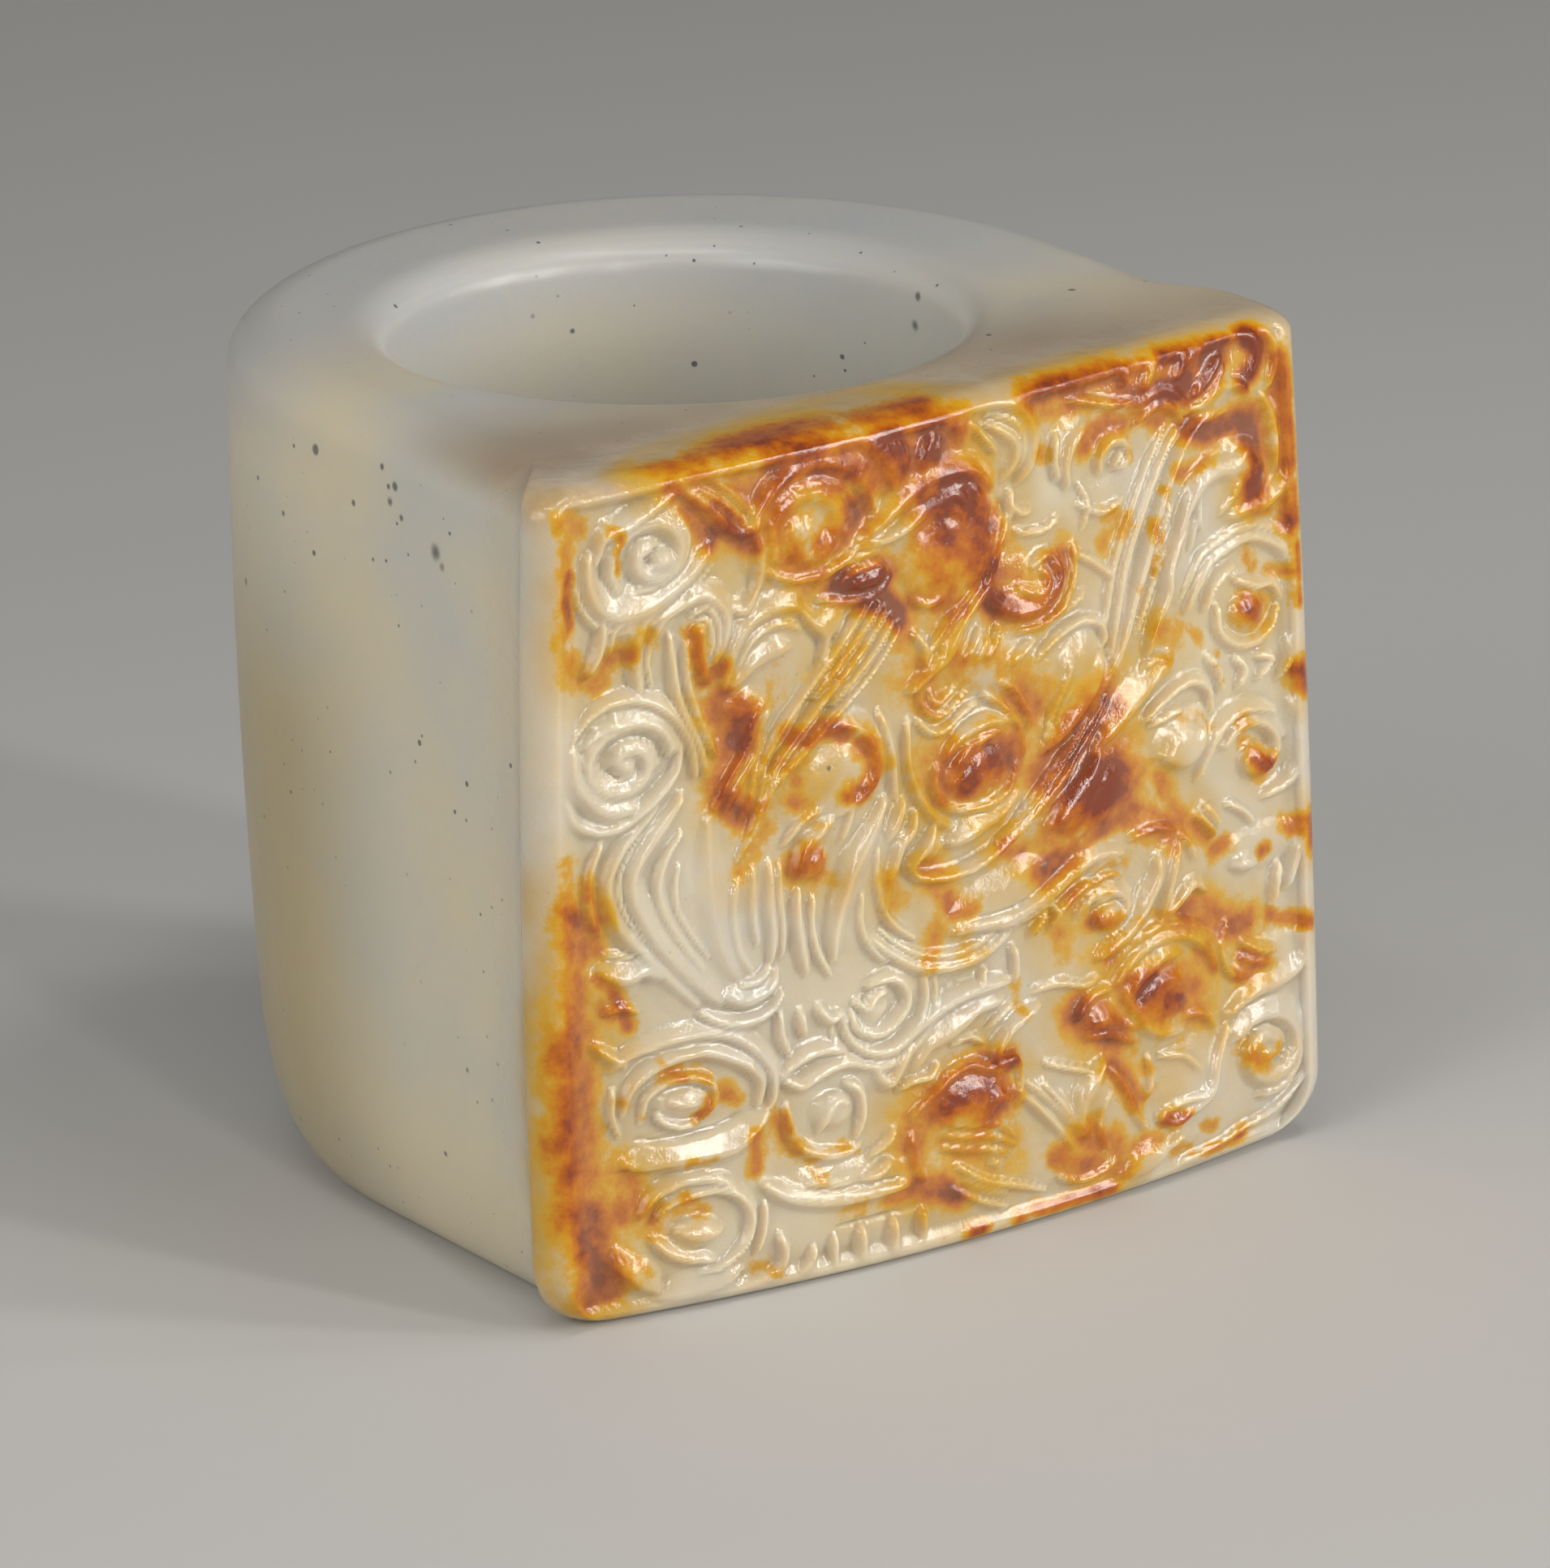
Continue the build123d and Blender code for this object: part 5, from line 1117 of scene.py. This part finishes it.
# the stone
stone = blendColour(tree, stretch(tree, cloud, *jade["coolCloud"]), jade["pale"], jade["cool"])
greenSide = times(tree, zoneOf(tree, place, jade["greenSide"]), jade["greenMost"])
stone = blendColour(tree, greenSide, stone, jade["green"])
# painted shade: the top of the near rim in front of the bore is painted a dark grey-brown, broken up by the
# cloud
amber = times(tree, zoneOf(tree, place, jade["nearRim"]), stretch(tree, cloud, *jade["amberCloud"]))
stone = blendColour(tree, amber, stone, jade["amber"])
# painted light: the bore wall is painted a lighter grey
axisSquare = calc(tree, "MULTIPLY_ADD", place["x"], place["x"], times(tree, place["y"], place["y"]))
boreWall = [radius * mm for radius in jade["boreWall"]]
paintedBoreLight = stretch(tree, calc(tree, "SQRT", axisSquare), *boreWall, 0.0, jade["litMost"])
stone = blendColour(tree, paintedBoreLight, stone, jade["lit"])
# painted shade: the top of the far rim is painted a darker, cooler grey
farRim = times(tree, zoneOf(tree, place, jade["farRim"]), jade["farMost"])
stone = blendColour(tree, farRim, stone, jade["far"])
onPanel = zoneOf(tree, place, jade["panel"])
warmth = times(tree, onPanel, stretch(tree, fineCloud, *jade["warmCloud"]))
stone = blendColour(tree, warmth, stone, jade["warm"])

# brown skin: the charted tone with ragged edges cut into it
skinEdge = calc(tree, "MULTIPLY_ADD", ragged, jade["edgeRagged"], charted)
skinEdge = calc(tree, "MULTIPLY_ADD", blotch, jade["edgeBlotch"], skinEdge)
skinMask = stretch(tree, skinEdge, *jade["skinEdge"])
skinMask = times(tree, skinMask, stretch(tree, charted, *jade["skinStart"]))
skinTint = calc(tree, "MULTIPLY_ADD", ragged, jade["tintRagged"], charted)
skinTint = calc(tree, "MULTIPLY_ADD", blotch, jade["tintBlotch"], skinTint)
ramp = tree.nodes.new("ShaderNodeValToRGB")
stops = ramp.color_ramp.elements
tints = jade["skinTints"]
for stop, (tone, tint) in zip(stops, (tints[0], tints[-1])):
    stop.position, stop.color = tone, (*tint, 1)
for tone, tint in tints[1:-1]:
    stops.new(tone).color = (*tint, 1)
tree.links.new(times(tree, skinTint, jade["tintScale"]), ramp.inputs[0])
soaked = stretch(tree, glaze, *jade["soakGlaze"])
soaked = times(tree, soaked, stretch(tree, blotch, *jade["soakBlotch"]))
stone = blendColour(tree, soaked, stone, jade["soaked"])
surface = blendColour(tree, skinMask, stone, ramp.outputs[0])

# painted shade: hollows are painted a darker, warmer tone, less so under the skin, and dirt and painted shade
# lie in the grooves
paintedHollowShade = stretch(tree, hollow, *jade["hollows"])
hollowShadeStrength = calc(tree, "MULTIPLY_ADD", skinMask, jade["deepLostToSkin"], jade["deepMost"])
paintedHollowShade = times(tree, paintedHollowShade, hollowShadeStrength)
surface = blendColour(tree, paintedHollowShade, surface, jade["deep"])
# real dirt and painted shade: grooves, where the carving lies deeper than its surroundings, are darkened
dirt = stretch(tree, groove, *jade["grooves"])
dirt = times(tree, dirt, stretch(tree, blotch, *jade["dirtBlotch"]), jade["dirtMost"])
surface = blendColour(tree, dirt, surface, jade["dirt"], "MULTIPLY")

# dark grains, fewer on the panel and fainter under the skin
coarse, fine = (specksOf(tree, coords, *jade[name]) for name in ("coarseSpecks", "fineSpecks"))
specks = times(tree, calc(tree, "MAXIMUM", coarse, fine),
               stretch(tree, onPanel, 0.0, 1.0, *jade["speckShare"]),
               stretch(tree, speckCloud, *jade["speckPatches"]))
for grain in grains:
    away = tree.nodes.new("ShaderNodeVectorMath")
    away.operation = "DISTANCE"
    tree.links.new(coords, away.inputs[0])
    away.inputs[1].default_value = (grain.x * mm, grain.y * mm, grain.z * mm)
    raggedAway = calc(tree, "MULTIPLY_ADD", ragged, jade["grainRagged"] * grain.wide * mm, away.outputs["Value"])
    dot = stretch(tree, raggedAway, grain.wide * mm, grain.wide * grain.core * mm, 0.0, jade["grainMost"])
    specks = calc(tree, "MAXIMUM", specks, dot)
unhidden = calc(tree, "SUBTRACT", 1.0, times(tree, skinMask, jade["speckHiddenBySkin"]))
specks = times(tree, specks, unhidden, jade["speckMost"])
surface = blendColour(tree, specks, surface, jade["speck"])

# the panel is polished more than the wall and the rim, and keeps more of its tool marks
satin = stretch(tree, onPanel, 0.0, 1.0, *jade["satin"])
clouded = stretch(tree, fineCloud, *jade["cloudedPolish"])
translucent = calc(tree, "MULTIPLY_ADD", skinMask, jade["clearLostToSkin"], jade["clear"])
feed(tree, shader.inputs["Base Color"], surface)
feed(tree, shader.inputs["Roughness"], calc(tree, "ADD", satin, clouded))
feed(tree, shader.inputs["Subsurface Weight"], translucent)
feed(tree, shader.inputs["Coat Weight"], stretch(tree, onPanel, 0.0, 1.0, *jade["coat"]))
shader.inputs["IOR"].default_value = jade["ior"]
shader.inputs["Subsurface Radius"].default_value = jade["subsurfaceRadius"]
shader.inputs["Subsurface Scale"].default_value = jade["subsurfaceScale"]
shader.inputs["Coat Roughness"].default_value = jade["coatRoughness"]
polish = tree.nodes.new("ShaderNodeBump")
polish.inputs["Distance"].default_value = jade["toolingDeep"]
feed(tree, polish.inputs["Strength"], stretch(tree, onPanel, 0.0, 1.0, *jade["tooled"]))
feed(tree, polish.inputs["Height"], tooling)
feed(tree, shader.inputs["Normal"], polish.outputs[0])

ringMesh.materials.append(jadeStone)
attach(carvedRing, "root")
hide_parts("thumb_ring")

# Studio: pale floor, soft boxes, plain pale surroundings. Lengths in millimetres, turns in degrees.
studio = {
    "floorSize": 1600, "floorColour": (0.54, 0.53, 0.51), "floorRoughness": 0.75,
    "surroundings": (0.50, 0.51, 0.53), "surroundingsStrength": 0.28,
    "lookAt": (2.51, -1.92, 12.89), "cameraTurn": -34.09, "cameraHeight": 18.69, "cameraRoll": -1.31,
    "cameraDistance": 395.59, "lens": 258.85, "clipNear": 0.01, "clipFar": 10,
}
print("studio")
floorMesh = bpy.data.meshes.new("floor")
half = studio["floorSize"] * mm / 2
corners = [(-half, -half, 0), (half, -half, 0), (half, half, 0), (-half, half, 0)]
floorMesh.from_pydata(corners, [], [(0, 1, 2, 3)])
floor = bpy.data.objects.new("floor", floorMesh)
bpy.context.scene.collection.objects.link(floor)
paper, _, paperShader = makeMaterial("paperFloor")
paperShader.inputs["Base Color"].default_value = (*studio["floorColour"], 1)
paperShader.inputs["Roughness"].default_value = studio["floorRoughness"]
floorMesh.materials.append(paper)

world = bpy.data.worlds.new("surroundings")
world.use_nodes = True
background = world.node_tree.nodes["Background"]
background.inputs["Color"].default_value = (*studio["surroundings"], 1)
background.inputs["Strength"].default_value = studio["surroundingsStrength"]
bpy.context.scene.world = world

# soft boxes: place, size across and up, strength
neutral, warm, cool = (1.0, 0.98, 0.95), (1.0, 0.98, 0.93), (0.98, 0.99, 1.0)
SoftBox = namedtuple("SoftBox", "name place wide high watts colour", defaults=[neutral])
softBoxes = [
    SoftBox("overheadLeft", (-72, -75, 250), 110, 36, 0.08),
    SoftBox("overheadRight", (46, -65, 255), 110, 36, 0.08),
    SoftBox("upperLeft", (-220, -60, 190), 90, 120, 0.08, cool),
    SoftBox("farRight", (290, -195, 130), 26, 190, 0.10),
    SoftBox("frontRight", (225, -265, 130), 40, 200, 0.42),
    SoftBox("frontMiddle", (115, -332, 130), 26, 200, 0.41),
    SoftBox("frontLeft", (-70, -345, 120), 24, 180, 0.23),
    SoftBox("leftFill", (-315, -60, 125), 280, 230, 0.44, warm),
]
lookAt = Vector(studio["lookAt"]) * mm
for box in softBoxes:
    light = bpy.data.lights.new(box.name, "AREA")
    light.shape = "RECTANGLE"
    light.size, light.size_y = box.wide * mm, box.high * mm
    light.energy, light.color = box.watts, box.colour
    lamp = bpy.data.objects.new(box.name, light)
    lamp.location = Vector(box.place) * mm
    lamp.rotation_euler = (lamp.location - lookAt).to_track_quat("Z", "Y").to_euler()
    bpy.context.scene.collection.objects.link(lamp)

turn, tip, roll = (radians(studio[name]) for name in ("cameraTurn", "cameraHeight", "cameraRoll"))
backward = Vector((sin(turn) * cos(tip), -cos(turn) * cos(tip), sin(tip)))
across = Vector((cos(turn), sin(turn), 0))
upward = backward.cross(across)
rolledAcross = cos(roll) * across + sin(roll) * upward
rolledUp = -sin(roll) * across + cos(roll) * upward
cameraData = bpy.data.cameras.new("camera")
cameraData.lens = studio["lens"]
cameraData.clip_start, cameraData.clip_end = studio["clipNear"], studio["clipFar"]
camera = bpy.data.objects.new("camera", cameraData)
axes = Matrix((rolledAcross, rolledUp, backward)).transposed().to_4x4()
camera.matrix_world = Matrix.Translation(lookAt + backward * studio["cameraDistance"] * mm) @ axes
bpy.context.scene.collection.objects.link(camera)
bpy.context.scene.camera = camera
bpy.context.scene.view_settings.view_transform = "Standard"
